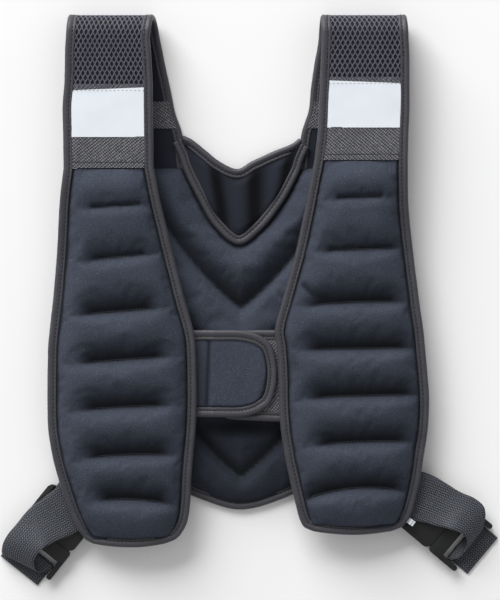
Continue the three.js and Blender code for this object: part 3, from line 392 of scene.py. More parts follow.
def make_mesh(name, points, faces, uv=None):
    """A smooth mesh object whose faces point outward, with a flat cloth map where uv is given."""
    mesh = bpy.data.meshes.new(name)
    points = np.asarray(points, float).reshape(-1, 3)
    faces = np.asarray(faces)
    corners = points[faces]
    volume = sum(
        np.einsum("ij,ij->i", corners[:, 0], np.cross(corners[:, k], corners[:, k + 1])).sum()
        for k in range(1, faces.shape[1] - 1)
    )
    if volume < 0:
        faces = faces[:, ::-1]
    mesh.from_pydata(points.tolist(), [], faces.tolist())
    if uv is not None:
        layer = mesh.uv_layers.new(name="cloth")
        layer.data.foreach_set("uv", np.asarray(uv, float).reshape(-1, 2)[faces.ravel()].ravel())
    mesh.polygons.foreach_set("use_smooth", [True] * len(mesh.polygons))
    mesh.update()
    made = bpy.data.objects.new(name, mesh)
    bpy.context.scene.collection.objects.link(made)
    return made


def grid_faces(rows, columns, first=0, closed=False):
    """Quads between neighbouring points of a grid, and across its seam where its rows are closed."""
    last = columns if closed else columns - 1
    i, k = np.meshgrid(np.arange(rows - 1), np.arange(last), indexing="ij")
    a = i * columns + k
    b = i * columns + (k + 1) % columns
    return (np.stack([a, b, b + columns, a + columns], axis=-1) + first).reshape(-1, 4)


def slab(name, top, bottom, uv=None):
    """A closed body between two grids of the same size."""
    rows, columns = top.shape[:2]
    count = rows * columns
    i = np.arange(rows)
    k = np.arange(columns)
    around = np.concatenate([
        k, (i * columns + columns - 1)[1:], ((rows - 1) * columns + k[::-1])[1:], (i[::-1] * columns)[1:-1],
    ])
    after = np.roll(around, -1)
    walls = np.stack([around, around + count, after + count, after], axis=1)
    upper = grid_faces(rows, columns)
    lower = grid_faces(rows, columns, count)[:, ::-1]
    both = None if uv is None else np.concatenate([uv.reshape(-1, 2)] * 2)
    points = np.concatenate([top.reshape(-1, 3), bottom.reshape(-1, 3)])
    piece = make_mesh(name, points, np.concatenate([upper, lower, walls]), both)
    piece.data.set_sharp_from_angle(angle=math.radians(55))
    return piece


def tube(name, rings, uv=None):
    """A closed body through rings of points, with a fan at each end."""
    rows, columns = rings.shape[:2]
    faces = grid_faces(rows, columns, closed=True)
    ends = np.stack([rings[0].mean(axis=0), rings[-1].mean(axis=0)])
    first = rows * columns
    k = np.arange(columns)
    near = np.stack([np.full(columns, first), (k + 1) % columns, k, k], axis=1)
    base = (rows - 1) * columns
    far = np.stack([np.full(columns, first + 1), base + k, base + (k + 1) % columns, base + (k + 1) % columns], axis=1)
    points = np.concatenate([rings.reshape(-1, 3), ends])
    mesh = make_mesh(name, points, faces, None if uv is None else np.concatenate([uv.reshape(-1, 2), uv[0, :1], uv[-1, :1]]))
    work = bmesh.new()
    work.from_mesh(mesh.data)
    work.verts.ensure_lookup_table()
    for row in np.concatenate([near, far]):
        face = work.faces.new([work.verts[i] for i in row[:3]])
        face.smooth = True
    bmesh.ops.recalc_face_normals(work, faces=work.faces)
    work.to_mesh(mesh.data)
    work.free()
    return mesh


class Value:
    """A number that varies over a surface, with the usual arithmetic."""

    def __init__(self, finish, socket):
        self.finish = finish
        self.socket = socket

    def combine(self, operation, first, second=0.0):
        made = self.finish.node("ShaderNodeMath", {"operation": operation}, {0: first, 1: second})
        return Value(self.finish, made.outputs[0])

    def __add__(self, other):
        return self.combine("ADD", self, other)

    __radd__ = __add__

    def __sub__(self, other):
        return self.combine("SUBTRACT", self, other)

    def __rsub__(self, other):
        return self.combine("SUBTRACT", other, self)

    def __mul__(self, other):
        return self.combine("MULTIPLY", self, other)

    __rmul__ = __mul__

    def __truediv__(self, other):
        return self.combine("DIVIDE", self, other)

    def __pow__(self, other):
        return self.combine("POWER", self, other)

    def __abs__(self):
        return self.combine("ABSOLUTE", self)

    def sine(self):
        return self.combine("SINE", self)

    def zigzag(self):
        """From 0 up to 1 and back for each whole number."""
        return self.combine("PINGPONG", self * 2.0, 1.0)

    def over(self, limit):
        return self.combine("GREATER_THAN", self, limit)

    def most(self, other):
        return self.combine("MAXIMUM", self, other)


class Finish:
    """A node material under construction."""

    def __init__(self, name, roughness=0.8, gloss=0.5, **constants):
        self.material = bpy.data.materials.new(name)
        self.material.use_nodes = True
        self.tree = self.material.node_tree
        self.tree.nodes.clear()
        self.output = self.tree.nodes.new("ShaderNodeOutputMaterial")
        self.surface = self.tree.nodes.new("ShaderNodeBsdfPrincipled")
        self.tree.links.new(self.surface.outputs[0], self.output.inputs[0])
        self.surface.inputs["Roughness"].default_value = roughness
        self.surface.inputs["Specular IOR Level"].default_value = gloss
        for key, value in constants.items():
            self.surface.inputs[key.replace("_", " ").title()].default_value = value

    def node(self, kind, settings=None, inputs=None):
        made = self.tree.nodes.new(kind)
        for key, value in (settings or {}).items():
            setattr(made, key, value)
        for key, value in (inputs or {}).items():
            self.feed(made.inputs[key], value)
        return made

    def feed(self, socket, value):
        value = value.socket if isinstance(value, Value) else value
        if isinstance(value, bpy.types.NodeSocket):
            self.tree.links.new(value, socket)
        else:
            socket.default_value = value

    def place(self):
        return self.node("ShaderNodeTexCoord").outputs["Object"]

    def along_and_across(self):
        """The cloth map's two values: the place on the flat cloth in metres, but on neoprene and smooth knit the
        second is the amount of painted shade.
        """
        made = self.node("ShaderNodeUVMap", {"uv_map": "cloth"})
        split = self.node("ShaderNodeSeparateXYZ", inputs={0: made.outputs[0]})
        return Value(self, split.outputs[0]), Value(self, split.outputs[1])

    def noise(self, size, detail=2.0, stretch=(1, 1, 1)):
        """Noise from 0 to 1 with features of a given size in metres."""
        scaled = self.node("ShaderNodeMapping", inputs={"Vector": self.place(), "Scale": stretch})
        made = self.node("ShaderNodeTexNoise", {"noise_dimensions": "3D"},
                         {"Vector": scaled.outputs[0], "Scale": 1 / size, "Detail": detail, "Roughness": 0.6})
        return Value(self, made.outputs[0])

    def mixed(self, factor, first, second):
        """One colour into another."""
        made = self.node("ShaderNodeMix", {"data_type": "RGBA", "clamp_factor": True})
        self.feed(made.inputs[0], factor)
        for socket, colour in ((made.inputs[6], first), (made.inputs[7], second)):
            self.feed(socket, colour if isinstance(colour, bpy.types.NodeSocket) else (*colour, 1))
        return made.outputs[2]

    def finished(self, colour, roughness=None, height=None, depth=0.0, strength=1.0):
        self.feed(self.surface.inputs["Base Color"], colour)
        if roughness is not None:
            self.feed(self.surface.inputs["Roughness"], roughness)
        if height is not None:
            bump = self.node("ShaderNodeBump", inputs={"Strength": strength, "Distance": depth, "Height": height})
            self.feed(self.surface.inputs["Normal"], bump.outputs[0])
        return self.material


def shade(colour, factor):
    """A colour made lighter or darker."""
    return tuple(min(1.0, channel * factor) for channel in colour)


def brushed_neoprene(colour):
    """Fine heathered nap of jersey on padding, darkened by painted shade where the cloth map's second value says."""
    finish = Finish("brushed_neoprene", gloss=0.12, sheen_weight=0.03, sheen_roughness=0.45)
    painted_shade = finish.along_and_across()[1]
    heather = finish.noise(0.9 * MM, 3)
    nap = finish.noise(0.3 * MM, 2)
    cloud = finish.noise(45 * MM, 2)
    lint = finish.noise(1.1 * MM, 0).over(0.74)
    blend = 0.5 + (heather - 0.5) * 2.2 + (cloud - 0.5) * 0.5
    base = finish.mixed(blend, shade(colour, 0.62), shade(colour, 1.36))
    flecked = finish.mixed(lint * 0.35, base, shade(colour, 3.2))
    # painted shade: the nap's colour darkened to a tenth by the cloth map's second value
    cloth_with_painted_shade = finish.mixed(painted_shade, flecked, shade(colour, 0.1))
    return finish.finished(cloth_with_painted_shade, 0.82 + nap * 0.16, heather * 0.55 + nap * 0.45, 0.00022, 0.8)


def smooth_knit(colour):
    """Dense smooth knit, darkened by painted shade where the cloth map's second value says."""
    finish = Finish("smooth_knit", gloss=0.12, sheen_weight=0.03, sheen_roughness=0.5)
    painted_shade = finish.along_and_across()[1]
    heather = finish.noise(0.8 * MM, 2)
    cloud = finish.noise(30 * MM, 2)
    blend = 0.5 + (heather - 0.5) * 1.6 + (cloud - 0.5) * 0.5
    base = finish.mixed(blend, shade(colour, 0.68), shade(colour, 1.32))
    # painted shade: the knit's colour darkened to a tenth by the cloth map's second value
    cloth_with_painted_shade = finish.mixed(painted_shade, base, shade(colour, 0.1))
    return finish.finished(cloth_with_painted_shade, 0.78 + heather * 0.16, heather, 0.00014, 0.7)


def folded_tape(colour):
    """Stretch tape with fine ribs across it and worn high places, with painted shade in its stitch groove and a
    painted shadow along its inner edge.
    """
    finish = Finish("folded_tape", sheen_weight=0.1, sheen_roughness=0.35)
    along, across = finish.along_and_across()
    rib = (along * (2 * math.pi / (0.9 * MM))).sine() * 0.5 + 0.5
    grain = finish.noise(0.7 * MM, 2)
    cloud = finish.noise(16 * MM, 2)
    blend = 0.5 + (grain - 0.5) * 1.1 + (cloud - 0.5) * 0.9 + (rib - 0.5) * 0.12
    base = finish.mixed(blend, shade(colour, 0.66), shade(colour, 1.3))
    # painted shade in the stitch groove, and a painted shadow where the tape ends on the cloth
    stitch_groove_shade = (1 - abs(across - TAPE_STITCH) * 12).most(0.0)
    inner_edge_shadow = (1 - abs(across - 1.0) * 22).most(0.0)
    tape_with_painted_shade = finish.mixed(stitch_groove_shade * 0.75 + inner_edge_shadow * 0.95, base, shade(colour, 0.1))
    return finish.finished(tape_with_painted_shade, 0.42 + grain * 0.2, grain * 0.7 + rib * 0.3, 0.00012, 0.7)


def sewing_thread(colour):
    """Twisted thread."""
    finish = Finish("sewing_thread", sheen_weight=0.2)
    strand = finish.noise(0.25 * MM, 1, (1, 2, 1))
    base = finish.mixed(strand, shade(colour, 0.6), shade(colour, 1.9))
    return finish.finished(base, 0.55 + strand * 0.2, strand, 0.0001, 0.6)


def mesh_yarn(colour):
    """Knitted yarn of the air mesh."""
    finish = Finish("mesh_yarn", sheen_weight=0.15)
    filament = finish.noise(0.35 * MM, 2, (1.6, 0.5, 1))
    cloud = finish.noise(18 * MM, 1)
    base = finish.mixed(0.5 + (filament - 0.5) * 1.8 + (cloud - 0.5) * 0.5, shade(colour, 0.5), shade(colour, 1.5))
    return finish.finished(base, 0.5 + filament * 0.25, filament, 0.00018, 0.9)


def mesh_backing(colour):
    """Spacer cloth under the air mesh, in the mesh's own colour darkened to 3 to 10 per cent: painted shade in the
    mesh's holes.
    """
    finish = Finish("mesh_backing")
    knit = finish.noise(0.8 * MM, 2)
    return finish.finished(finish.mixed(knit, shade(colour, 0.03), shade(colour, 0.1)), 0.85 + knit * 0.1, knit, 0.0003, 0.8)


def coarse_twill(colour):
    """Woven tape: slanting bright floats over a dark ground."""
    finish = Finish("coarse_twill", gloss=0.3, sheen_weight=0.06)
    along, across = finish.along_and_across()
    loose = finish.noise(1.6 * MM, 2)
    slant = ((along * 0.78 - across * 0.62) / (2.7 * MM) + (loose - 0.5) * 0.5).zigzag()
    cross = ((across * 0.78 + along * 0.62) / (2.1 * MM) + (loose - 0.5) * 0.4).zigzag()
    float_height = slant * 0.55 + cross * 0.45
    blend = (float_height * 1.15 - 0.1 + (loose - 0.5) * 1.1).most(0.0) ** 1.7
    base = finish.mixed(blend, shade(colour, 0.12), shade(colour, 2.4))
    return finish.finished(base, 0.5 + loose * 0.3, float_height + loose * 0.3, 0.0004, 0.9)


def heavy_webbing(colour):
    """Thick webbing: chevron ribs between rows of warp yarns."""
    finish = Finish("heavy_webbing", gloss=0.25, sheen_weight=0.04)
    along, across = finish.along_and_across()
    chevron = (across / (8 * MM)).zigzag()
    rib = (along / (2.9 * MM) + chevron * 1.6).zigzag()
    warp = (across / (2.5 * MM)).zigzag()
    loose = finish.noise(0.9 * MM, 2)
    height = rib * 0.55 + warp * 0.45
    blend = (height * 1.6 - 0.45 + (loose - 0.5) * 1.3).most(0.0) ** 1.4
    base = finish.mixed(blend, shade(colour, 0.4), shade(colour, 5.5))
    return finish.finished(base, 0.45 + loose * 0.25, height + loose * 0.25, 0.0003, 0.8)


def reflective_cloth(colour):
    """Pale silver cloth of fine glass beads, with faint creases."""
    finish = Finish("reflective_cloth", metallic=0.0)
    bead = finish.noise(0.35 * MM, 1)
    cloud = finish.noise(28 * MM, 3)
    base = finish.mixed(0.5 + (cloud - 0.5) * 0.9 + (bead - 0.5) * 0.3, shade(colour, 0.93), shade(colour, 1.04))
    return finish.finished(base, 0.4 + cloud * 0.2, bead * 0.3 + cloud, 0.0003, 0.5)


def moulded_plastic(colour):
    """Fine-grained moulding with rubbed patches."""
    finish = Finish("moulded_plastic", gloss=0.35)
    grain = finish.noise(0.5 * MM, 1)
    rub = finish.noise(7 * MM, 3)
    base = finish.mixed(0.5 + (rub - 0.5) * 1.4, shade(colour, 0.75), shade(colour, 1.5))
    return finish.finished(base, 0.34 + rub * 0.2, grain, 0.0001, 0.5)


def pale_floor(colour):
    """Even pale ground."""
    finish = Finish("pale_floor")
    cloud = finish.noise(0.4, 1)
    return finish.finished(finish.mixed(cloud, shade(colour, 0.99), shade(colour, 1.01)), 0.7)


MAKERS = {
    "neoprene": brushed_neoprene,
    "yoke": smooth_knit,
    "tape": folded_tape,
    "thread": sewing_thread,
    "mesh": mesh_yarn,
    "twill": coarse_twill,
    "reflective": reflective_cloth,
    "webbing": heavy_webbing,
    "plastic": moulded_plastic,
    "floor": pale_floor,
}


def material_for(look):
    """The material of a look, made once."""
    colours = bpy.context.scene.vest_colours
    if look == "backing":
        # the backing takes the air mesh's colour, darkened as painted shade
        return bpy.data.materials.get("mesh_backing") or mesh_backing(tuple(colours.mesh))
    maker = MAKERS[look]
    return bpy.data.materials.get(maker.__name__) or maker(tuple(getattr(colours, look)))


def settle(piece, look, *nodes):
    """Gives a piece its material and its place on the part."""
    if not piece.data.materials:
        piece.data.materials.append(material_for(look))
    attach(piece, "root")
    if nodes:
        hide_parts(*nodes)
    return piece


class Tree:
    """A Geometry Nodes tree under construction, with named inputs for its sizes."""

    def __init__(self, name, sizes):
        self.group = bpy.data.node_groups.new(name, "GeometryNodeTree")
        self.group.interface.new_socket("Geometry", in_out="INPUT", socket_type="NodeSocketGeometry")
        for size in sizes:
            self.group.interface.new_socket(size, in_out="INPUT", socket_type="NodeSocketFloat")
        self.group.interface.new_socket("Material", in_out="INPUT", socket_type="NodeSocketMaterial")
        self.group.interface.new_socket("Geometry", in_out="OUTPUT", socket_type="NodeSocketGeometry")
        self.given = self.group.nodes.new("NodeGroupInput").outputs

    def node(self, kind, settings=None, inputs=None):
        made = self.group.nodes.new(kind)
        for key, value in (settings or {}).items():
            setattr(made, key, value)
        for key, value in (inputs or {}).items():
            if isinstance(value, bpy.types.NodeSocket):
                self.group.links.new(value, made.inputs[key])
            else:
                made.inputs[key].default_value = value
        return made

    def ended(self, geometry):
        """Ends the tree: real geometry with its material."""
        real = self.node("GeometryNodeRealizeInstances", inputs={0: geometry})
        dressed = self.node("GeometryNodeSetMaterial", inputs={0: real.outputs[0], "Material": self.given["Material"]})
        shaded = self.node("GeometryNodeSetShadeSmooth", inputs={0: dressed.outputs[0]})
        out = self.group.nodes.new("NodeGroupOutput")
        self.group.links.new(shaded.outputs[0], out.inputs[0])
        return self.group


def stitch_tree():
    """One slim stitch after another along each line."""
    tree = Tree("stitches", ["Pitch", "Length", "Thickness"])
    line = tree.node("GeometryNodeMeshToCurve", inputs={0: tree.given["Geometry"]})
    points = tree.node("GeometryNodeResampleCurve", {"mode": "LENGTH"},
                       {"Curve": line.outputs[0], "Length": tree.given["Pitch"]})
    bead = tree.node("GeometryNodeMeshUVSphere", inputs={"Segments": 6, "Rings": 4, "Radius": 0.5})
    size = tree.node("ShaderNodeCombineXYZ", inputs={
        0: tree.given["Thickness"], 1: tree.given["Thickness"], 2: tree.given["Length"],
    })
    tangent = tree.node("GeometryNodeInputTangent")
    turn = tree.node("FunctionNodeAlignRotationToVector", {"axis": "Z"}, {"Vector": tangent.outputs[0]})
    placed = tree.node("GeometryNodeInstanceOnPoints", inputs={
        "Points": points.outputs[0], "Instance": bead.outputs[0], "Rotation": turn.outputs[0],
        "Scale": size.outputs[0],
    })
    return tree.ended(placed.outputs[0])


def strand_tree():
    """A round yarn along each line, with soft corners."""
    tree = Tree("strands", ["Step", "Thickness"])
    line = tree.node("GeometryNodeMeshToCurve", inputs={0: tree.given["Geometry"]})
    soft = tree.node("GeometryNodeCurveSplineType", {"spline_type": "CATMULL_ROM"}, {0: line.outputs[0]})
    points = tree.node("GeometryNodeResampleCurve", {"mode": "LENGTH"},
                       {"Curve": soft.outputs[0], "Length": tree.given["Step"]})
    ring = tree.node("GeometryNodeCurvePrimitiveCircle", inputs={"Resolution": 6, "Radius": 0.5})
    size = tree.node("ShaderNodeCombineXYZ", inputs={k: tree.given["Thickness"] for k in range(3)})
    profile = tree.node("GeometryNodeTransform", inputs={0: ring.outputs[0], "Scale": size.outputs[0]})
    yarn = tree.node("GeometryNodeCurveToMesh", inputs={
        "Curve": points.outputs[0], "Profile Curve": profile.outputs[0], "Fill Caps": True,
    })
    return tree.ended(yarn.outputs[0])


def along_lines(name, lines, tree, look, **sizes):
    """A piece that a Geometry Nodes tree makes along lines of points."""
    mesh = bpy.data.meshes.new(name + "_lines")
    points, edges = [], []
    for line in lines:
        first = len(points)
        points += [list(p) for p in line]
        edges += [(first + i, first + i + 1) for i in range(len(line) - 1)]
    mesh.from_pydata(points, edges, [])
    guide = bpy.data.objects.new(name + "_lines", mesh)
    bpy.context.scene.collection.objects.link(guide)
    group = bpy.data.node_groups.get(tree.__name__) or tree()
    group.name = tree.__name__
    modifier = guide.modifiers.new(name, "NODES")
    modifier.node_group = group
    named = {item.name: item.identifier for item in group.interface.items_tree if item.in_out == "INPUT"}
    for key, value in sizes.items():
        modifier[named[key.title()]] = value
    modifier[named["Material"]] = material_for(look)
    evaluated = guide.evaluated_get(bpy.context.evaluated_depsgraph_get())
    made_mesh = bpy.data.meshes.new_from_object(evaluated)
    made_mesh.name = name
    guide.modifiers.remove(modifier)
    bpy.data.objects.remove(guide)
    bpy.data.meshes.remove(mesh)
    made = bpy.data.objects.new(name, made_mesh)
    bpy.context.scene.collection.objects.link(made)
    return settle(made, look)


def swelled(piece, pinned, cap, pressure=4.0, slack=0.012, frames=20):
    """Cloth simulation with air pressure inside: the cover swells and wrinkles round its stitches."""
    rest = np.empty(len(piece.data.vertices) * 3)
    piece.data.vertices.foreach_get("co", rest)
    rest = rest.reshape(-1, 3)
    held = piece.vertex_groups.new(name="sewn")
    for i, weight in enumerate(pinned):
        if weight > 0.01:
            held.add([i], float(weight), "REPLACE")
    cloth = piece.modifiers.new("cover", "CLOTH")
    settings = cloth.settings
    settings.quality = 5
    settings.mass = 0.4
    settings.tension_stiffness = 25
    settings.compression_stiffness = 25
    settings.shear_stiffness = 15
    settings.bending_stiffness = 8
    settings.tension_damping = 15
    settings.compression_damping = 15
    settings.shear_damping = 15
    settings.air_damping = 3
    settings.use_pressure = True
    settings.uniform_pressure_force = pressure
    settings.shrink_min = -slack
    settings.vertex_group_mass = held.name
    settings.pin_stiffness = 10
    settings.effector_weights.gravity = 0
    cloth.collision_settings.use_collision = False
    cloth.collision_settings.use_self_collision = False
    scene = bpy.context.scene
    cloth.point_cache.frame_start = 1
    cloth.point_cache.frame_end = frames
    for step in range(1, frames + 1):
        scene.frame_set(step)
    evaluated = piece.evaluated_get(bpy.context.evaluated_depsgraph_get())
    moved = np.empty(len(rest) * 3)
    evaluated.data.vertices.foreach_get("co", moved)
    shift = moved.reshape(-1, 3) - rest
    piece.modifiers.remove(cloth)
    piece.vertex_groups.remove(held)
    scene.frame_set(1)
    far = np.linalg.norm(shift, axis=1, keepdims=True)
    shift *= np.tanh(far / cap) * cap / np.maximum(far, 1e-12)
    return shift


class Vest:
    """The lines and surfaces that the pieces share, worked out from the sizes."""

    def __init__(self):
        self.size = bpy.context.scene.vest_sizes
        size = self.size
        self.fold_radius = (size.front_level - size.back_level) / 2
        self.fold_y = size.shoulder_top - self.fold_radius - 2.75 * MM
        self.vee_tip = size.shoulder_top - size.neck_depth
        self.back_seam = self.vee_tip - BACK_ROWS[0]["down"] * size.back_length
        self.vee_level = 9.65 * MM
        inner = [self.vee_point(row["vee_across"], row["vee_up"]) for row in NECK_ROWS[1:-1]]
        self.vee = curve_through(inner)

    def vee_point(self, across, up, z=None):
        size = self.size
        return np.array([across * size.yoke_width, self.vee_tip + up * size.yoke_height, self.vee_level if z is None else z])

    def half(self, side):
        """Where a front half lies, by its share across from the outer edge in and its share down."""
        size = self.size
        outline = OUTLINES[side["name"]]
        line = size.front_shift + side["sign"] * size.neck_gap / 2
        outer, inner = (reading(outline, "down", name) for name in ("outer", "inner"))
        return {
            "line": line,
            "seam": size.shoulder_top - side["seam_share"] * size.strap_length,
            "last": outline[-1]["down"],
            "outer": lambda down: line + side["sign"] * outer(down) * size.panel_width,
            "inner": lambda down: line - side["sign"] * inner(down) * size.panel_width,
        }

    def level(self, share, down):
        """The middle height of a front half."""
        size = self.size
        across = size.outer_droop * (1 - share) ** 2 + size.inner_droop * share**2
        return size.front_level - smooth(down / 0.25) * across - size.end_droop * down**4

    def strap(self, side, step=2 * MM):
        """A strap's edges and outside direction, from the front seam over the fold to the back seam."""
        size, half = self.size, self.half(side)
        sign, line = side["sign"], half["line"]
        leg = self.fold_y - half["seam"]
        turn = math.pi * self.fold_radius
        total = leg + turn + self.fold_y - self.back_seam
        rows = [{"way": 0, "outer": half["outer"](0), "inner": half["inner"](0)}]
        for row in reversed(STRAP_FRONTS[side["name"]]):
            y = min(self.fold_y, size.shoulder_top - row["reach"] * size.strap_length)
            rows.append({"way": y - half["seam"], **self.strap_edges(row, line, sign)})
        for row in STRAP_BACKS[side["name"]]:
            y = min(self.fold_y, size.shoulder_top - row["reach"] * size.strap_length)
            rows.append({"way": leg + turn + self.fold_y - y, **self.strap_edges(row, line, sign)})
        seam_inner = self.vee[0][0] if sign < 0 else self.vee[-1][0]
        rows.append({"way": total, "outer": sign * BACK_ROWS[0]["across"] * size.back_width / 2, "inner": seam_inner})
        way = np.linspace(0, total, int(total / step))
        angle = np.clip((way - leg) / self.fold_radius, 0, math.pi)
        y = np.where(way < leg, half["seam"] + way, self.fold_y + self.fold_radius * np.sin(angle))
        y = np.where(way > leg + turn, self.fold_y - (way - leg - turn), y)
        z = size.back_level + self.fold_radius + self.fold_radius * np.cos(angle)
        up = np.stack([0 * angle, np.sin(angle), np.cos(angle)], axis=1)
        outer, inner = (reading(rows, "way", name)(way) for name in ("outer", "inner"))
        return {
            "way": way, "up": up, "leg": leg, "turn": turn, "total": total,
            "outer": np.stack([outer, y, z], axis=1), "inner": np.stack([inner, y, z], axis=1),
        }

    def strap_edges(self, row, line, sign):
        width = self.size.strap_width
        return {"outer": line + sign * row["outer"] * width, "inner": line - sign * row["inner"] * width}

    def front_rows(self, side, step=2 * MM):
        """A front half's edge points row by row, and the points across its lower end."""
        half = self.half(side)
        count = int(half["last"] * self.size.panel_length / step)
        down = np.linspace(0, half["last"], count)
        y = half["seam"] - down * self.size.panel_length
        outer = np.stack([half["outer"](down), y, self.level(0, down)], axis=1)
        inner = np.stack([half["inner"](down), y, self.level(1, down)], axis=1)
        share = np.linspace(0, 1, 41)
        end = outer[-1] + (inner[-1] - outer[-1]) * share[:, None]
        end[:, 1] -= 3.5 * MM * (1 - (2 * share - 1) ** 2)
        end[:, 2] = self.level(share, half["last"])
        return {**half, "down": down, "outer": outer, "inner": inner, "end": end, "share": share}

    def front_edge(self, side):
        """The finished edge of a front half with its strap, with its up and outward directions."""
        strap, rows = self.strap(side), self.front_rows(side)
        points = np.concatenate([
            strap["outer"][::-1], rows["outer"][1:], rows["end"][1:-1], rows["inner"][:0:-1], strap["inner"],
        ])
        flat = np.tile(UP, (len(points) - 2 * len(strap["up"]), 1))
        up = np.concatenate([strap["up"][::-1], flat, strap["up"]])
        points, up = resampled(points, 2 * MM, up)
        up = unit(up)
        return {"at": points, "up": up, "out": outward(points, up, -side["sign"])}

    def back_sections(self, step=0.1):
        """The sections of the back pad from the V to the outer edge, all round the U."""
        size = self.size
        lefts = [{**row, "across": -row["across"]} for row in BACK_ROWS]
        rights = [{**row, "vee": 1 - row["vee"]} for row in BACK_ROWS[-2::-1]]
        rows = [{**row, "step": i} for i, row in enumerate(lefts + rights)]
        steps = np.arange(0, len(rows) - 1 + step / 2, step)
        vee, across, down = (reading(rows, "step", name)(steps) for name in ("vee", "across", "down"))
        edge = np.stack([across * size.back_width / 2, self.vee_tip - down * size.back_length, 0 * down], axis=1)
        edge[:, 2] = size.back_level
        last = len(rows) - 1
        for start in (5, last - 6):
            inside = (steps > start) & (steps < start + 1)
            a, b = (edge[int(round(k / step))] for k in (start, start + 1))
            edge[inside] = a + (b - a) * (steps[inside] - start)[:, None]
        walk = walk_of(self.vee)
        places = np.clip(vee, 0, 1) * walk[-1]
        neck = np.stack([np.interp(places, walk, self.vee[:, k]) for k in range(3)], axis=1)
        return {"steps": steps, "last": last, "neck": neck, "edge": edge}

    def back_edge(self):
        points = resampled(self.back_sections()["edge"], 2 * MM)
        up = np.tile(UP, (len(points), 1))
        return {"at": points, "up": up, "out": outward(points, up, 1)}

    def neck_lines(self):
        """The neck edge and the V line of the yoke, point for point."""
        size = self.size
        rise = np.sin(np.pi * np.arange(len(NECK_ROWS)) / (len(NECK_ROWS) - 1))
        tops = [
            self.vee_point(row["top_across"], row["top_up"], size.back_level + (0.4 + 4 * up) * MM)
            for row, up in zip(NECK_ROWS, rise)
        ]
        vees = [self.vee_point(row["vee_across"], row["vee_up"]) for row in NECK_ROWS]
        ends = [self.vee_point(row["across"], row["up"]) for row in VEE_ENDS]
        whole = curve_through([ends[0], *vees, ends[1]])
        return curve_through(tops), whole, whole[12:-12]


def tape(name, edge, width, roll, half, seed=1.0):
    """Tape folded over an edge as a U, with a soft roll outside its stitches."""
    insets = np.array([row["inset"] for row in TAPE_TOP]) * width
    heights = np.array([row["roll"] * roll + row["cloth"] * half + row["rise"] * MM for row in TAPE_TOP])
    inner_in = np.array([0.97, 0.7, 0.25]) * width
    inner_up = np.array([half - 0.2 * MM, half - 0.7 * MM, half * 0.6])
    ring_in = np.concatenate([insets, inner_in, inner_in[::-1], insets[:0:-1]])
    ring_up = np.concatenate([heights, inner_up, -inner_up[::-1], -heights[:0:-1]])
    at, up, out = edge["at"], edge["up"], edge["out"]
    wave = rough(at, 60, seed)
    small = rough(at, 240, seed + 7)
    swell = 1 + 0.07 * wave + 0.05 * small
    shift = 0.25 * MM * rough(at, 45, seed + 3)
    side = -ring_in[None, :] * (1 + 0.02 * small[:, None]) + shift[:, None]
    lift = ring_up[None, :] * np.where(ring_in < 0.6 * width, swell[:, None], 1)
    rings = at[:, None] + out[:, None] * side[..., None] + up[:, None] * lift[..., None]
    walk = walk_of(at)
    uv = np.stack(np.broadcast_arrays(walk[:, None], ring_in[None, :] / width), axis=-1)
    piece = tube(name, rings, uv)
    stitched = []
    for sign in (1, -1):
        height = sign * (half + 0.2 * MM)
        stitched.append(at - out * (TAPE_STITCH * width) + up * height)
    return piece, stitched


def tape_pieces(name, edge, width, roll, half, node, pitch):
    """A folded tape and the two rows of stitches through it."""
    piece, lines = tape(name, edge, width, roll, half)
    settle(piece, "tape", node)
    along_lines(name.replace("binding", "stitches"), [resampled(line, 1 * MM) for line in lines], stitch_tree,
                "thread", pitch=pitch, length=pitch * 0.55, thickness=1.7 * MM)
    return piece


class VEST_OT_front_panels(bpy.types.Operator):
    """Make the two quilted front halves"""

    bl_idname = "vest.front_panels"
    bl_label = "Front panels"

    def execute(self, context):
        vest = Vest()
        for side in SIDES:
            make_front_panel(vest, side)
        return {"FINISHED"}


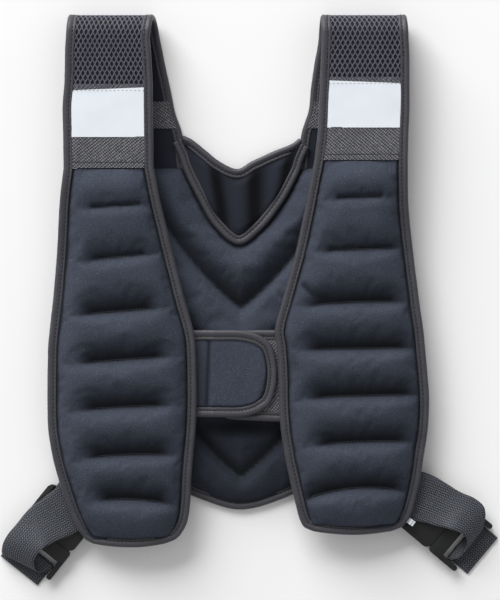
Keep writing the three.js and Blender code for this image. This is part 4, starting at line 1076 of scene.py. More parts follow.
def make_front_panel(vest, side):
    size = vest.size
    rows = vest.front_rows(side)
    up = np.tile(UP, (len(rows["down"]), 1))
    under = 3 * MM
    outer = rows["outer"] - outward(rows["outer"], up, -side["sign"]) * under
    inner = rows["inner"] - outward(rows["inner"], up, side["sign"]) * under
    share = np.linspace(0, 1, 84)
    down = rows["down"][:, None]
    points = outer[:, None] + (inner - outer)[:, None] * share[None, :, None]
    end_y = np.interp(share, rows["share"], rows["end"][:, 1]) + under
    late = smooth((down - 0.9) / (rows["last"] - 0.9))
    points[..., 1] += late * (end_y[None, :] - points[-1:, :, 1])
    middle = vest.level(share[None, :], down)
    width = np.linalg.norm(inner - outer, axis=1)[:, None]
    clear = 7.4 * MM
    from_outer = share[None, :] * width - clear
    from_inner = (1 - share)[None, :] * width - clear
    from_end = (rows["last"] - down) * size.panel_length - clear + 2 * MM
    puff = puff_at(from_outer) * puff_at(from_inner) * puff_at(from_end) * puff_at(down * size.panel_length - 1 * MM)
    place = points.copy()
    place[..., 2] = middle
    dent = 1.0
    fine = 0.0
    seam_gap = np.minimum(np.minimum(from_outer, from_inner), from_end)
    # painted shade: a dark line along the seams round the padding
    painted_shade = 0.9 * bell(seam_gap, 1.7 * MM)
    grooves = []
    for row in QUILTING[side["name"]]:
        reach = (share[None, :] - (row["start"] + row["stop"]) / 2) / (row["stop"] - row["start"]) * 2
        line = row["down"] + row["tilt"] * reach + row["curve"] * reach**2
        outside = np.maximum(0, np.maximum(row["start"] - share, share - row["stop"]))[None, :]
        gap = (down - line) * size.panel_length
        fade = bell(outside, 0.12)
        depth = 0.78 * min(1, 0.25 + 2.1 * row["down"])
        spread = np.where(gap < 0, 16 * MM, 7 * MM)
        sharp = 1 - 0.55 * bell(outside, 0.03) * bell(gap, 2.6 * MM)
        reach_up = 15 * MM * min(1, 0.2 + 2.2 * row["down"])
        # painted shade above each quilting line, where the puff falls away from the light, and a narrow line below it
        dark = np.where(gap < 0, bell(gap, reach_up), bell(gap, 1.8 * MM))
        painted_shade = np.maximum(painted_shade, min(0.94, depth * 1.25) * fade * dark)
        dent = dent * (1 - depth * fade * bell(gap, spread)) * sharp
        pucker = np.sin(share[None, :] * width / (4.3 * MM) + rough(place, 60, row["down"] * 9) * 3)
        fine = fine + pucker * bell(np.abs(gap) - 6 * MM, 6 * MM) * bell(outside, 0.03) * 0.22 * MM
        grooves.append((row, line))
    typical = float(width.mean())
    flat = np.stack(np.broadcast_arrays(share[None, :] * typical, down * size.panel_length), axis=-1)
    for row in SLANTS[side["name"]]:
        a = np.array([row["share"] * typical, row["down"] * size.panel_length])
        b = np.array([row["far_share"] * typical, row["far_down"] * size.panel_length])
        gap = segment_gap(flat, a, b)
        dent = dent * (1 - 0.45 * bell(gap, 4 * MM))
        # painted shade along the slanting crease
        painted_shade = np.maximum(painted_shade, 0.75 * bell(gap, 2.2 * MM))
    wrinkle = rough(place * np.array([1.0, 1.7, 1.0]), 34, 2.0 + side["sign"])
    soft = rough(place, 14, 5.0 + side["sign"])
    top = middle + 2.1 * MM + 0.65 * MM * np.clip(puff * 4, 0, 1) + size.front_puff * puff * dent
    top = top + puff * (fine + wrinkle * 0.3 * MM + soft * 0.6 * MM) - bell(seam_gap, 1.8 * MM) * 0.9 * MM
    points[..., 2] = top
    name = f"front_panel_{side['name']}"
    points = swell_grid(name, points, dent, puff)
    bottom = points.copy()
    bottom[..., 2] = middle - 2.1 * MM - size.front_under * puff * (0.4 + 0.6 * dent)
    # the cloth map carries the painted shade as its second value
    uv = np.stack(np.broadcast_arrays(share[None, :] * width, painted_shade), axis=-1)
    piece = slab(f"quilted_{name}", points, bottom, uv)
    settle(piece, "neoprene", name)
    lines = []
    for row, line in grooves:
        line = np.broadcast_to(line, (1, len(share)))[0]
        inside = (share >= row["start"]) & (share <= row["stop"])
        line_points = []
        for k in np.flatnonzero(inside):
            i = np.interp(line[k], rows["down"], np.arange(len(rows["down"])))
            j = int(i)
            p = points[j, k] * (1 - (i - j)) + points[min(j + 1, len(points) - 1), k] * (i - j)
            line_points.append(p + UP * 0.3 * MM)
        lines.append(np.array(line_points))
    along_lines(f"quilting_stitches_{side['name']}", lines, stitch_tree, "thread",
                pitch=3.4 * MM, length=2.9 * MM, thickness=0.9 * MM)


def swell_grid(name, points, dent, puff):
    """The cover of a padded piece after its simulation."""
    rows, columns = points.shape[:2]
    piece = make_mesh(name + "_cover", points, grid_faces(rows, columns))
    normal = np.array(piece.data.polygons[len(piece.data.polygons) // 2].normal)
    if normal[2] < 0:
        piece.data.flip_normals()
    dents = np.broadcast_to(dent, (rows, columns))
    pinned = np.clip(1.6 * (0.42 - dents) / 0.42, 0, 1)
    pinned = np.maximum(pinned, np.where(puff < 0.04, 1.0, 0.0))
    shift = swelled(piece, pinned.ravel(), 1.8 * MM).reshape(points.shape)
    data = piece.data
    bpy.data.objects.remove(piece)
    bpy.data.meshes.remove(data)
    return points + shift


class VEST_OT_back_panel(bpy.types.Operator):
    """Make the padded back with its chevron creases"""

    bl_idname = "vest.back_panel"
    bl_label = "Back panel"

    def execute(self, context):
        vest = Vest()
        size = vest.size
        sections = vest.back_sections()
        up = np.tile(UP, (len(sections["edge"]), 1))
        rim = sections["edge"] - outward(sections["edge"], up, 1) * 3 * MM
        rim[[0, -1], 1] = vest.back_seam
        share = np.linspace(0, 1, 90)
        points = sections["neck"][:, None] + (rim - sections["neck"])[:, None] * share[None, :, None]
        points[[0, -1], :, 1] = vest.back_seam
        length_of = np.linalg.norm((rim - sections["neck"])[:, :2], axis=1)[:, None]
        from_rim = (1 - share)[None, :] * length_of
        from_vee = share[None, :] * length_of - 3.6 * MM
        steps = sections["steps"][:, None]
        from_seam = np.minimum(steps, sections["last"] - steps) * 60 * MM
        puff = puff_at(from_vee) * puff_at(from_rim - 5.5 * MM) * puff_at(from_seam)
        fade = bell(points[..., 0], 0.34 * size.back_width)
        dent = 1.0
        # painted shade: dark lines inside the outer rim and beside the V
        painted_shade = 0.9 * np.maximum(bell(from_rim - 7.2 * MM, 1.8 * MM), bell(from_vee - 0.8 * MM, 1.8 * MM))
        for row in BACK_CREASES:
            side_way = np.sqrt(points[..., 0] ** 2 + (1.8 * MM) ** 2) - 1.8 * MM
            crease = vest.vee_tip - row["at"] * size.back_length + row["rise"] * side_way + 4 * side_way**2
            gap = (points[..., 1] - crease) * 0.75
            spread = np.where(gap > 0, 20 * MM, 7 * MM)
            dent = dent * (1 - row["depth"] * fade * bell(gap, spread)) * (1 - 0.4 * fade * bell(gap, 2.6 * MM))
            # painted shade above each chevron crease and a narrow line below it
            dark = np.where(gap > 0, bell(gap, 17 * MM), bell(gap, 2.2 * MM))
            painted_shade = np.maximum(painted_shade, 0.95 * fade * dark)
        # painted shade over the back's lower part, and a painted shadow under the chest flap
        below_flap = -points[..., 1] - 42 * MM
        painted_shade = np.maximum(painted_shade, 0.5 * smooth(below_flap / (10 * MM)))
        painted_shade = np.maximum(painted_shade, 0.98 * bell(below_flap - 8 * MM, 15 * MM) * bell(points[..., 0], 60 * MM))
        place = points.copy()
        place[..., 2] = 0
        soft = rough(place, 22, 9.0) * 0.7 * MM + rough(place, 60, 4.0) * 0.3 * MM
        rim_top = size.back_level + 2.45 * MM
        edge_top = size.back_level + 2.1 * MM
        top = edge_top + (rim_top - edge_top) * np.clip(puff * 4, 0, 1) + size.back_puff * puff * dent + soft * puff
        points[..., 2] = top
        points = swell_grid("back_panel", points, dent, puff)
        bottom = points.copy()
        bottom[..., 2] = (size.back_level - 2.1 * MM) * (1 - smooth(from_rim / (16 * MM)))
        # the cloth map carries the painted shade as its second value
        uv = np.stack(np.broadcast_arrays(share[None, :] * length_of, painted_shade), axis=-1)
        piece = slab("padded_back", points, bottom, uv)
        settle(piece, "neoprene", "back_panel")
        tape_pieces("back_edge_binding", vest.back_edge(), size.tape_width, size.tape_roll, 2.1 * MM, "back_binding",
                    size.stitch_pitch)
        return {"FINISHED"}


class VEST_OT_yoke(bpy.types.Operator):
    """Make the neck yoke with its two bound edges"""

    bl_idname = "vest.yoke"
    bl_label = "Neck yoke"

    def execute(self, context):
        vest = Vest()
        size = vest.size
        tops, whole, vees = vest.neck_lines()
        up = np.tile(UP, (len(tops), 1))
        neck_edge = {"at": tops, "up": up, "out": outward(tops, up, -1)}
        vee_up = np.tile(UP, (len(whole), 1))
        vee_out = outward(whole, vee_up, 1)
        vee_edge = {"at": whole + vee_out * 3.25 * MM, "up": vee_up, "out": vee_out}
        top = tops - neck_edge["out"] * 3 * MM
        low = vees
        share = np.linspace(0, 1, 48)
        points = top[:, None] + (low - top)[:, None] * share[None, :, None]
        lift = 0.0
        painted_shade = 0.0
        across = points[..., 0] / size.yoke_width
        for fold in YOKE_FOLDS:
            at = fold["top"] + (fold["low"] - fold["top"]) * share[None, :]
            lift = lift + bell(across - at, fold["width"]) * fold["height"] * MM * (1 - 0.3 * share[None, :])
            # painted shade on the right-hand side of each fold
            painted_shade = painted_shade + bell(across - at - fold["width"], fold["width"] * 0.85)
        drop = np.linalg.norm(low - top, axis=1)[:, None]
        edge_fade = smooth((np.minimum(share, 1 - share)[None, :] * drop - 6 * MM) / (9 * MM))
        lift = lift * edge_fade + rough(points, 30, 3.0) * 0.5 * MM * edge_fade
        half = 1.5 * MM
        upper = points.copy()
        upper[..., 2] += half + lift
        lower = points.copy()
        lower[..., 2] += lift * 0.9 - half
        inner_gap = np.minimum(share, 1 - share)[None, :] * drop
        # painted shade along both bound edges, too
        painted_shade = np.maximum(np.minimum(painted_shade, 0.9), 0.9 * bell(inner_gap - 7 * MM, 1.6 * MM))
        uv = np.stack([across, painted_shade], axis=-1)
        piece = slab("folded_yoke", upper, lower, uv)
        settle(piece, "yoke", "neck_yoke")
        for name, edge, roll, node in (
            ("neck_edge_binding", neck_edge, size.tape_roll, "neck_binding"),
            ("vee_binding", vee_edge, 2.6 * MM, "yoke_binding"),
        ):
            edge["at"], edge["up"], edge["out"] = resampled(edge["at"], 1.5 * MM, edge["up"], edge["out"])
            edge["out"] = unit(edge["out"])
            tape_pieces(name, edge, size.tape_width, roll, half, node, size.stitch_pitch)
        return {"FINISHED"}


class VEST_OT_straps(bpy.types.Operator):
    """Make the shoulder straps: lining, bands, patches and air mesh"""

    bl_idname = "vest.straps"
    bl_label = "Shoulder straps"

    def execute(self, context):
        vest = Vest()
        for side in SIDES:
            make_strap(vest, side)
        return {"FINISHED"}


def make_strap(vest, side):
    """The layers of one strap."""
    size = vest.size
    strap = vest.strap(side, 1.5 * MM)
    name = side["name"]
    sign = side["sign"]
    outer = strap["outer"] - outward(strap["outer"], strap["up"], sign) * 3 * MM
    inner = strap["inner"] - outward(strap["inner"], strap["up"], -sign) * 3 * MM
    outer[:, 1:] = strap["outer"][:, 1:]
    inner[:, 1:] = strap["inner"][:, 1:]
    way_to_seam = side["seam_share"] * size.strap_length
    twill_top = side["twill_end"] * way_to_seam
    patch_top = side["patch_end"] * way_to_seam
    band = strap["total"] - BACK_BAND_SHARE * (size.shoulder_top - vest.back_seam)

    def layer(piece_name, start, stop, inside, outside, crown=0.5, ripple=0.12, seed=1.0, margin=0.0, skew=0.0):
        places = np.linspace(start, stop, max(3, int((stop - start) / (1.5 * MM))))
        shift = np.linspace(0, skew, len(places))
        a, b, up = (
            np.stack([np.interp(places + shift * way, strap["way"], values[:, k]) for k in range(3)], axis=1)
            for values, way in ((outer, -1), (inner, 1), (strap["up"], 0))
        )
        up = unit(up)
        share = np.linspace(margin, 1 - margin, 30)
        middle = a[:, None] + (b - a)[:, None] * share[None, :, None]
        swell = (1 - (2 * share - 1) ** 6)[None, :] * crown * MM
        wave = rough(middle, 40, seed) * ripple * MM * 2
        top = middle + up[:, None] * (outside + swell + wave)[..., None]
        bottom = middle + up[:, None] * (inside + (swell + wave) * 0.8)[..., None]
        width = np.linalg.norm(b - a, axis=1)[:, None]
        uv = np.stack(np.broadcast_arrays(places[:, None], (share[None, :] - 0.5) * width), axis=-1)
        return slab(piece_name, top, bottom, uv), (a, b, up, places, width)

    lining, _ = layer(f"lining_{name}", 0, strap["total"], -2.2 * MM, -0.3 * MM, crown=0.2)
    settle(lining, "yoke", f"strap_lining_{name}")
    hem = 5.5 * MM
    twill, _ = layer(f"twill_{name}", 0.2 * MM, twill_top, 0.1 * MM, 2.1 * MM, crown=0.3, ripple=0.3, seed=4.0,
                     margin=0.055)
    settle(twill, "twill", f"twill_band_{name}")
    folded, _ = layer(f"twill_hem_{name}", 0.1 * MM, hem, 1.9 * MM, 3.1 * MM, crown=0.3, ripple=0.25, seed=4.0,
                      margin=0.075)
    settle(folded, "twill")
    patch, _ = layer(f"patch_{name}", twill_top - 0.6 * MM, patch_top - 1.7 * MM, 2.0 * MM, 2.4 * MM, crown=0.35,
                     ripple=0.2, margin=0.06, skew=1.7 * MM)
    settle(patch, "reflective", f"reflective_patch_{name}")
    strip, _ = layer(f"patch_backing_{name}", twill_top, patch_top + 3.2 * MM, 0.1 * MM, 1.9 * MM, crown=0.3,
                     margin=0.055)
    settle(strip, "twill")
    back, _ = layer(f"back_twill_{name}", band, strap["total"], 0.1 * MM, 2.2 * MM, crown=0.3, ripple=0.3)
    settle(back, "twill", f"back_band_{name}")
    backing, (a, b, up, places, width) = layer(
        f"mesh_backing_{name}", patch_top + 0.2 * MM, band, 0.1 * MM, 1.2 * MM, crown=0.3,
    )
    settle(backing, "backing")
    lines = lattice(size, a, b, up, places)
    along_lines(f"air_mesh_{name}", lines, strand_tree, "mesh", step=1.3 * MM, thickness=size.mesh_strand)
    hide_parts(f"shoulder_mesh_{name}")
    row_at = patch_top - 3.4 * MM
    rows = []
    for place, height in ((row_at, 2.95), (hem + 0.5 * MM, 2.6), (band + 3 * MM, 2.75)):
        ends = [
            np.array([np.interp(place, strap["way"], values[:, k]) for k in range(3)])
            for values in (outer, inner, strap["up"])
        ]
        share = np.linspace(0.08, 0.92, 40)[:, None]
        rows.append(ends[0] + (ends[1] - ends[0]) * share + unit(ends[2]) * height * MM)
    along_lines(f"strap_stitches_{name}", rows[1:], stitch_tree, "thread", pitch=3 * MM, length=3.4 * MM,
                thickness=1.0 * MM)
    along_lines(f"patch_stitches_{name}", rows[:1], stitch_tree, "twill", pitch=4.2 * MM, length=1.7 * MM,
                thickness=0.5 * MM)
    low, high = (strap["leg"] + strap["turn"] + vest.fold_y - size.shoulder_top + down for down in INNER_BAND)
    inside, _ = layer(f"inner_twill_{name}", low, high, -3.1 * MM, -2.3 * MM, crown=0.1, ripple=0.2)
    settle(inside, "twill")


def lattice(size, a, b, up, places):
    """Zigzag yarns side by side, which meet at every other corner and leave diamonds."""
    width = np.linalg.norm(b - a, axis=1).mean()
    columns = int(width / size.mesh_column)
    rows = int((places[-1] - places[0]) / size.mesh_row)
    steps = np.linspace(places[0], places[-1], rows + 1)
    low, high, normal = (
        np.stack([np.interp(steps, places, values[:, k]) for k in range(3)], axis=1) for values in (a, b, up)
    )
    normal = unit(normal)
    lines = []
    for k in range(columns + 1):
        lean = np.where(np.arange(rows + 1) % 2 == 0, 0.46, -0.46) * (1 if k % 2 == 0 else -1)
        share = np.clip((k + lean) / columns, 0.045, 0.955)[:, None]
        lines.append(low + (high - low) * share + normal * (2.0 * MM))
    return lines


class VEST_OT_edge_bindings(bpy.types.Operator):
    """Fold the tape round the front halves and their straps"""

    bl_idname = "vest.edge_bindings"
    bl_label = "Edge bindings"

    def execute(self, context):
        vest = Vest()
        size = vest.size
        for side in SIDES:
            name = side["name"]
            tape_pieces(f"front_edge_binding_{name}", vest.front_edge(side), size.tape_width, size.tape_roll,
                        2.3 * MM, f"edge_binding_{name}", size.stitch_pitch)
        return {"FINISHED"}


class VEST_OT_closure(bpy.types.Operator):
    """Make the chest flap and the tab under it"""

    bl_idname = "vest.closure"
    bl_label = "Chest closure"

    def execute(self, context):
        vest = Vest()
        size = vest.size
        left, right = (vest.half(side) for side in SIDES)
        top = left["seam"] - FLAP_DOWN * size.panel_length
        middle = FLAP_DOWN + size.flap_height / size.panel_length / 2
        under = []
        for half in (left, right):
            low_down = (half["seam"] - top + size.flap_height) / size.panel_length
            under.append(vest.level(1, low_down) - 5.5 * MM)
        tab_level = under[1]
        flap_level = tab_level + 4.2 * MM
        make_plate(
            vest, "chest_flap", "neoprene", FLAP_ROWS, left["inner"](middle) - 7 * MM, top, size.flap_length,
            size.flap_height, 1, lambda along: under[0] + (flap_level - under[0]) * smooth((along - 0.14) / 0.13),
            1.3 * MM,
        )
        make_plate(
            vest, "chest_tab", "twill", TAB_ROWS, right["inner"](middle) + 6.2 * MM, top, size.tab_length,
            size.tab_height, -1, lambda along: tab_level + 0 * along, 1.1 * MM,
        )
        return {"FINISHED"}


def make_plate(vest, name, look, rows, root, top, reach, height, direction, level_at, half):
    """A bound flat piece from its root to its free end."""
    size = vest.size
    along = np.concatenate([np.linspace(0, 0.85, 40), np.linspace(0.86, rows[-1]["along"], 24)])
    upper, lower = (reading(rows, "along", column)(along) for column in ("upper", "lower"))
    x = root + direction * along * reach
    z = level_at(along)
    a = np.stack([x, top - upper * height, z], axis=1)
    b = np.stack([x, top - height + lower * height, z], axis=1)
    share = np.linspace(0, 1, 15)
    end = a[-1] + (b[-1] - a[-1]) * share[:, None]
    end[:, 0] += direction * 1.4 * MM * (1 - (2 * share - 1) ** 2)
    points = np.concatenate([a, end[1:-1], b[::-1]])
    points = resampled(points, 1.5 * MM)
    up = np.tile(UP, (len(points), 1))
    edge = {"at": points, "up": up, "out": outward(points, up, -direction)}
    tape_pieces(f"{name}_edge_binding", edge, size.closure_tape, 2.4 * MM, half, f"{name}_binding", 3.6 * MM)
    inset = 2.5 * MM
    across = np.linspace(0, 1, 60)
    a_in = a + np.array([0, -1, 0]) * inset
    b_in = b + np.array([0, 1, 0]) * inset
    face = a_in[:, None] + (b_in - a_in)[:, None] * across[None, :, None]
    squeeze = np.clip((along - 0.9) / 0.09, 0, 1)[:, None] * inset
    face[..., 0] -= direction * squeeze
    ripple = rough(face, 28, 6.0) * 0.5 * MM + rough(face, 70, 2.0) * 0.15 * MM
    mound = (np.sin(np.pi * across)[None, :] ** 0.6) * 0.5 * MM
    lift = ripple + mound
    border = np.linalg.norm(face[:, :, None, :2] - points[None, None, :, :2], axis=-1).min(axis=2)
    free = smooth((border - 8.4 * MM) / (3 * MM))
    if name == "chest_flap":
        step_fade = smooth((np.minimum(across, 1 - across) * height - 8 * MM) / (4 * MM))[None, :]
        past_fold = (along[:, None] - 0.22 + 0.03 * across[None, :]) * reach
        past_bow = (along[:, None] - 0.915 + 0.19 * across[None, :] ** 3) * reach
        lift = lift - bell(past_fold, 2.4 * MM) * 1.1 * MM * step_fade
        lift = lift + smooth(past_fold / (7 * MM)) * 0.7 * MM * step_fade
        lift = lift - bell(past_bow, 2.2 * MM) * 0.7 * MM * step_fade
        # painted shade in the flap's creases, over its end past the bow and inside its bound edge
        creases = bell(past_fold, 2 * MM) + 0.4 * smooth(-past_fold / (2 * MM)) * across[None, :]
        creases = creases + bell(past_bow - 1 * MM, 2 * MM) + 0.6 * smooth(past_bow / (2 * MM))
        rim_shade = bell(border - 10.9 * MM, 1.4 * MM)
    lift = lift * free - 0.6 * MM * (1 - free)
    upper_face = face.copy()
    upper_face[..., 2] += half + lift
    lower_face = face.copy()
    lower_face[..., 2] += lift * 0.6 - half
    uv = face[..., :2].copy()
    # on neoprene the cloth map carries this painted shade
    if look == "neoprene":
        uv[..., 1] = np.clip(0.8 * creases * step_fade + 0.8 * rim_shade, 0, 0.9)
    piece = slab(f"{name}_body", upper_face, lower_face, uv)
    settle(piece, look, name)


class VEST_OT_webbing(bpy.types.Operator):
    """Lay the side webbing over its buckles"""

    bl_idname = "vest.webbing"
    bl_label = "Side webbing"

    def execute(self, context):
        vest = Vest()
        for side in SIDES:
            make_webbing(vest, side)
        make_side_tab()
        return {"FINISHED"}


def make_side_tab():
    """The small folded tab beside the right webbing, with its two stitches."""
    angle = math.radians(TAB_TURN)
    turn = np.array([[math.cos(angle), -math.sin(angle), 0], [math.sin(angle), math.cos(angle), 0], [0, 0, 1]])
    along, across = np.meshgrid(np.linspace(-0.5, 0.5, 12), np.linspace(-0.5, 0.5, 8), indexing="ij")
    flat = np.stack([along * TAB_SIZE[0], across * TAB_SIZE[1], 0 * along], axis=-1)
    crown = (1 - (2 * along) ** 4)[..., None] * UP * TAB_SIZE[2] / 2
    top, bottom = ((flat + lift) @ turn.T + TAB_PLACE for lift in (crown, -crown * 0.8 - UP * 0.1 * MM))
    piece = slab("side_tab", top, bottom)
    settle(piece, "reflective")
    rows = [top[i] + UP * 0.1 * MM for i in (4, 8)]
    along_lines("side_tab_stitches", rows, stitch_tree, "thread", pitch=1.9 * MM, length=1.5 * MM,
                thickness=0.8 * MM)


def buckle_place(vest, side):
    """Where a buckle lies on the floor: its middle and its turn."""
    size, half = vest.size, vest.half(side)
    x = half["outer"](CORNER_DOWN) + side["sign"] * side["buckle_out"] * size.webbing_width
    y = half["seam"] - CORNER_DOWN * size.panel_length - side["buckle_down"] * size.webbing_width
    angle = math.radians(side["buckle_turn"])
    turn = np.array([[math.cos(angle), -math.sin(angle), 0], [math.sin(angle), math.cos(angle), 0], [0, 0, 1]])
    return np.array([x, y, 0.0]), turn


def band(name, fars, nears, thickness, seed):
    """Flat webbing between two edge lines of the same count, with thin selvedges."""
    middles = (fars + nears) / 2
    across = nears - fars
    normal = unit(np.cross(across, np.gradient(middles, axis=0)))
    share = np.linspace(0, 1, 26)
    points = fars[:, None] + across[:, None] * share[None, :, None]
    wave = rough(points, 55, seed) * 0.35 * MM + rough(points, 22, seed) * 0.4 * MM
    thick = thickness / 2 * (1 - np.abs(2 * share - 1) ** 14) ** 0.5 * 0.92 + 0.08 * thickness / 2
    top = points + normal[:, None] * (wave + thick)[..., None]
    bottom = points + normal[:, None] * (wave - thick)[..., None]
    walk = walk_of(middles)
    width = np.linalg.norm(across, axis=1)[:, None]
    uv = np.stack(np.broadcast_arrays(walk[:, None], (share - 0.5)[None, :] * width), axis=-1)
    return slab(name, top, bottom, uv)


def even_pair(fars, nears, step):
    """Two edge lines again at even steps of the line between them."""
    walk = walk_of((fars + nears) / 2)
    count = max(3, int(walk[-1] / step))
    places = np.linspace(0, walk[-1], count)
    return [np.stack([np.interp(places, walk, line[:, k]) for k in range(3)], axis=1) for line in (fars, nears)]


def make_webbing(vest, side):
    """The long webbing and the short stub of one side."""
    size = vest.size
    width, thick = size.webbing_width, size.webbing_thickness
    origin, turn = buckle_place(vest, side)
    rows = WEBBING[side["name"]]
    far_side = side["far_side"]
    wrap = BAR["radius"] + BUCKLE_GAP + thick / 2
    fars = [np.array([row["far_along"], row["far_across"], row["far_up"]]) * width for row in rows]
    nears = [np.array([row["near_along"], row["near_across"], row["near_up"]]) * width for row in rows]
    half = far_side * width / 2
    for i in range(7):
        angle = math.pi / 2 + i / 6 * math.pi
        at = np.array([BAR["along"] + wrap * math.cos(angle), 0, BAR["up"] + wrap * math.sin(angle)])
        fars.append(at + np.array([0, half, 0]))
        nears.append(at - np.array([0, half, 0]))
    for along in (0.7, 0.85, 1.0):
        at = np.array([TAIL_END * along, 0, BAR["up"] - wrap])
        fars.append(at + np.array([0, half, 0]))
        nears.append(at - np.array([0, half, 0]))
    fars, nears = even_pair(curve_through(fars, 10), curve_through(nears, 10), 1.6 * MM)
    fars, nears = (line @ turn.T + origin for line in (fars, nears))
    piece = band(f"webbing_{side['name']}", fars, nears, thick, 3.0)
    settle(piece, "webbing", f"side_webbing_{side['name']}")
    make_stub(vest, side, origin, turn)
    rest = np.linspace(0.05, 0.95, 40)[:, None]
    lines = []
    for back in (3, 9):
        lines.append(fars[-back] + (nears[-back] - fars[-back]) * rest + UP * (thick / 2 + 0.2 * MM))
    along_lines(f"hem_stitches_{side['name']}", lines, stitch_tree, "thread", pitch=3 * MM, length=2.2 * MM,
                thickness=0.7 * MM)


def make_stub(vest, side, origin, turn):
    """Webbing from the back's edge round the rear bar of the buckle and back."""
    size = vest.size
    thick = size.webbing_thickness
    sections = vest.back_sections()
    up = np.tile(UP, (len(sections["edge"]), 1))
    seats = sections["edge"] + outward(sections["edge"], up, 1) * 2 * SEAM
    spots = [50, 60] if side["sign"] < 0 else [len(seats) - 51, len(seats) - 61]
    ends = [turn.T @ (seats[i] - origin) for i in spots]
    ends.sort(key=lambda p: -side["far_side"] * p[1])
    level = size.back_level
    gap = thick / 2 + SEAM / 2
    lap = thick / 2 + BUCKLE_GAP
    half = side["far_side"] * size.webbing_width / 2
    above, below = REAR_BAR["high"] + lap, REAR_BAR["low"] - lap
    path = [
        (STUB["root"], level + gap + SEAM), (STUB["bend"], STUB["bend_top"]), (STUB["rest"], above),
        (REAR_BAR["end"], above),
    ]
    for turned, base in ((60, "high"), (30, "high"), (0, "middle"), (-30, "low"), (-60, "low")):
        angle = math.radians(turned)
        path.append((REAR_BAR["end"] + lap * math.cos(angle), REAR_BAR[base] + lap * math.sin(angle)))
    path += [
        (REAR_BAR["end"], below), (STUB["rest"], below), (STUB["bend"], STUB["bend_low"]),
        (STUB["root"], level - gap),
    ]
    fars = [np.array([*ends[0][:2], level + gap + 0.1 * MM])]
    nears = [np.array([*ends[1][:2], level + gap + 0.1 * MM])]
    for along, height in path:
        at = np.array([along, 0, height])
        fars.append(at + np.array([0, half, 0]))
        nears.append(at - np.array([0, half, 0]))
    fars.append(np.array([*ends[0][:2], level - gap - 0.1 * MM]))
    nears.append(np.array([*ends[1][:2], level - gap - 0.1 * MM]))
    fars, nears = (curve_through(line, 8) @ turn.T + origin for line in (fars, nears))
    fars, nears = even_pair(fars, nears, 1.6 * MM)
    piece = band(f"stub_{side['name']}", fars, nears, thick * 0.95, 8.0)
    settle(piece, "webbing", f"webbing_stub_{side['name']}")


class VEST_OT_buckles(bpy.types.Operator):
    """Round the edges of the buckles and give them their plastic"""

    bl_idname = "vest.buckles"
    bl_label = "Buckles"

    def execute(self, context):
        for node in [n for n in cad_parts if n.startswith("buckle_")]:
            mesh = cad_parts[node].data.copy()
            mesh.materials.clear()
            work = bmesh.new()
            work.from_mesh(mesh)
            bmesh.ops.remove_doubles(work, verts=work.verts, dist=0.02 * MM)
            bmesh.ops.dissolve_limit(work, angle_limit=math.radians(1), verts=work.verts, edges=work.edges)
            work.to_mesh(mesh)
            work.free()
            piece = bpy.data.objects.new(f"moulded_{node}", mesh)
            bpy.context.scene.collection.objects.link(piece)
            bevel = piece.modifiers.new("rounded", "BEVEL")
            bevel.width = 0.55 * MM
            bevel.segments = 2
            bevel.limit_method = "ANGLE"
            bevel.angle_limit = math.radians(35)
            bevel.use_clamp_overlap = True
            evaluated = piece.evaluated_get(bpy.context.evaluated_depsgraph_get())
            rounded = bpy.data.meshes.new_from_object(evaluated)
            rounded.polygons.foreach_set("use_smooth", [True] * len(rounded.polygons))
            piece.modifiers.remove(bevel)
            piece.data = rounded
            rounded.set_sharp_from_angle(angle=math.radians(40))
            settle(piece, "plastic", node)
        return {"FINISHED"}


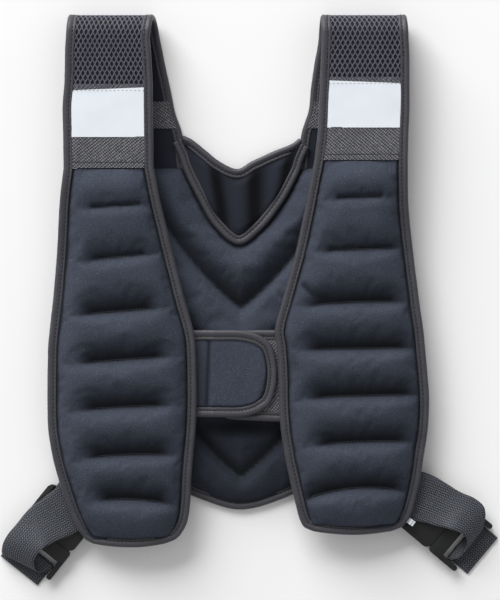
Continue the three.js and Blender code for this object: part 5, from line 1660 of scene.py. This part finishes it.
class VEST_OT_stage(bpy.types.Operator):
    """Set up the floor, the lights and the camera"""

    bl_idname = "vest.stage"
    bl_label = "Stage"

    def execute(self, context):
        stage = context.scene.vest_stage
        floor = make_mesh("floor", [(-6, -6, 0), (6, -6, 0), (6, 6, 0), (-6, 6, 0)], [(0, 1, 2, 3)])
        floor.data.materials.append(material_for("floor"))
        middle = Vector((stage.view_middle_x, stage.view_middle_y, 25 * MM))
        for name, place, width, power in (
            ("key_light", (-3.8, 8.0, 4.4), 7.5, stage.key_power),
            ("fill_light", (0.5, -1.2, 2.0), 2.2, stage.fill_power),
        ):
            lamp = bpy.data.lights.new(name, "AREA")
            lamp.size = width
            lamp.energy = power
            light = bpy.data.objects.new(name, lamp)
            light.location = place
            light.rotation_euler = (middle - Vector(place)).to_track_quat("-Z", "Y").to_euler()
            context.scene.collection.objects.link(light)
        world = bpy.data.worlds.new("studio")
        world.use_nodes = True
        world.node_tree.nodes["Background"].inputs[0].default_value = (1, 1, 1, 1)
        world.node_tree.nodes["Background"].inputs[1].default_value = stage.sky
        context.scene.world = world
        lens = bpy.data.cameras.new("camera")
        lens.sensor_width = 36
        lens.lens = lens.sensor_width * stage.camera_height / stage.view_height
        lens.clip_end = 100
        camera = bpy.data.objects.new("camera", lens)
        camera.location = middle + Vector((0, 0, stage.camera_height))
        context.scene.collection.objects.link(camera)
        context.scene.camera = camera
        context.scene.view_settings.view_transform = "Standard"
        return {"FINISHED"}


STEPS = (
    VEST_OT_stage, VEST_OT_back_panel, VEST_OT_yoke, VEST_OT_front_panels, VEST_OT_straps,
    VEST_OT_edge_bindings, VEST_OT_closure, VEST_OT_webbing, VEST_OT_buckles,
)


class VEST_PT_panel(bpy.types.Panel):
    """Sizes, colours and steps of the vest"""

    bl_idname = "VEST_PT_panel"
    bl_label = "Weighted vest"
    bl_space_type = "VIEW_3D"
    bl_region_type = "UI"
    bl_category = "Vest"

    def draw(self, context):
        for step in STEPS:
            self.layout.operator(step.bl_idname)
        for group in (context.scene.vest_sizes, context.scene.vest_colours, context.scene.vest_stage):
            box = self.layout.box()
            for name in group.__annotations__:
                box.prop(group, name)


CLASSES = (VestSizes, VestColours, VestStage, *STEPS, VEST_PT_panel)


def register():
    for cls in CLASSES:
        bpy.utils.register_class(cls)
    bpy.types.Scene.vest_sizes = PointerProperty(type=VestSizes)
    bpy.types.Scene.vest_colours = PointerProperty(type=VestColours)
    bpy.types.Scene.vest_stage = PointerProperty(type=VestStage)


def unregister():
    for name in ("vest_sizes", "vest_colours", "vest_stage"):
        delattr(bpy.types.Scene, name)
    for cls in reversed(CLASSES):
        bpy.utils.unregister_class(cls)


def main():
    register()
    for step in STEPS:
        group, name = step.bl_idname.split(".")
        getattr(getattr(bpy.ops, group), name)()
    bpy.context.view_layer.update()


if __name__ == "__main__":
    main()
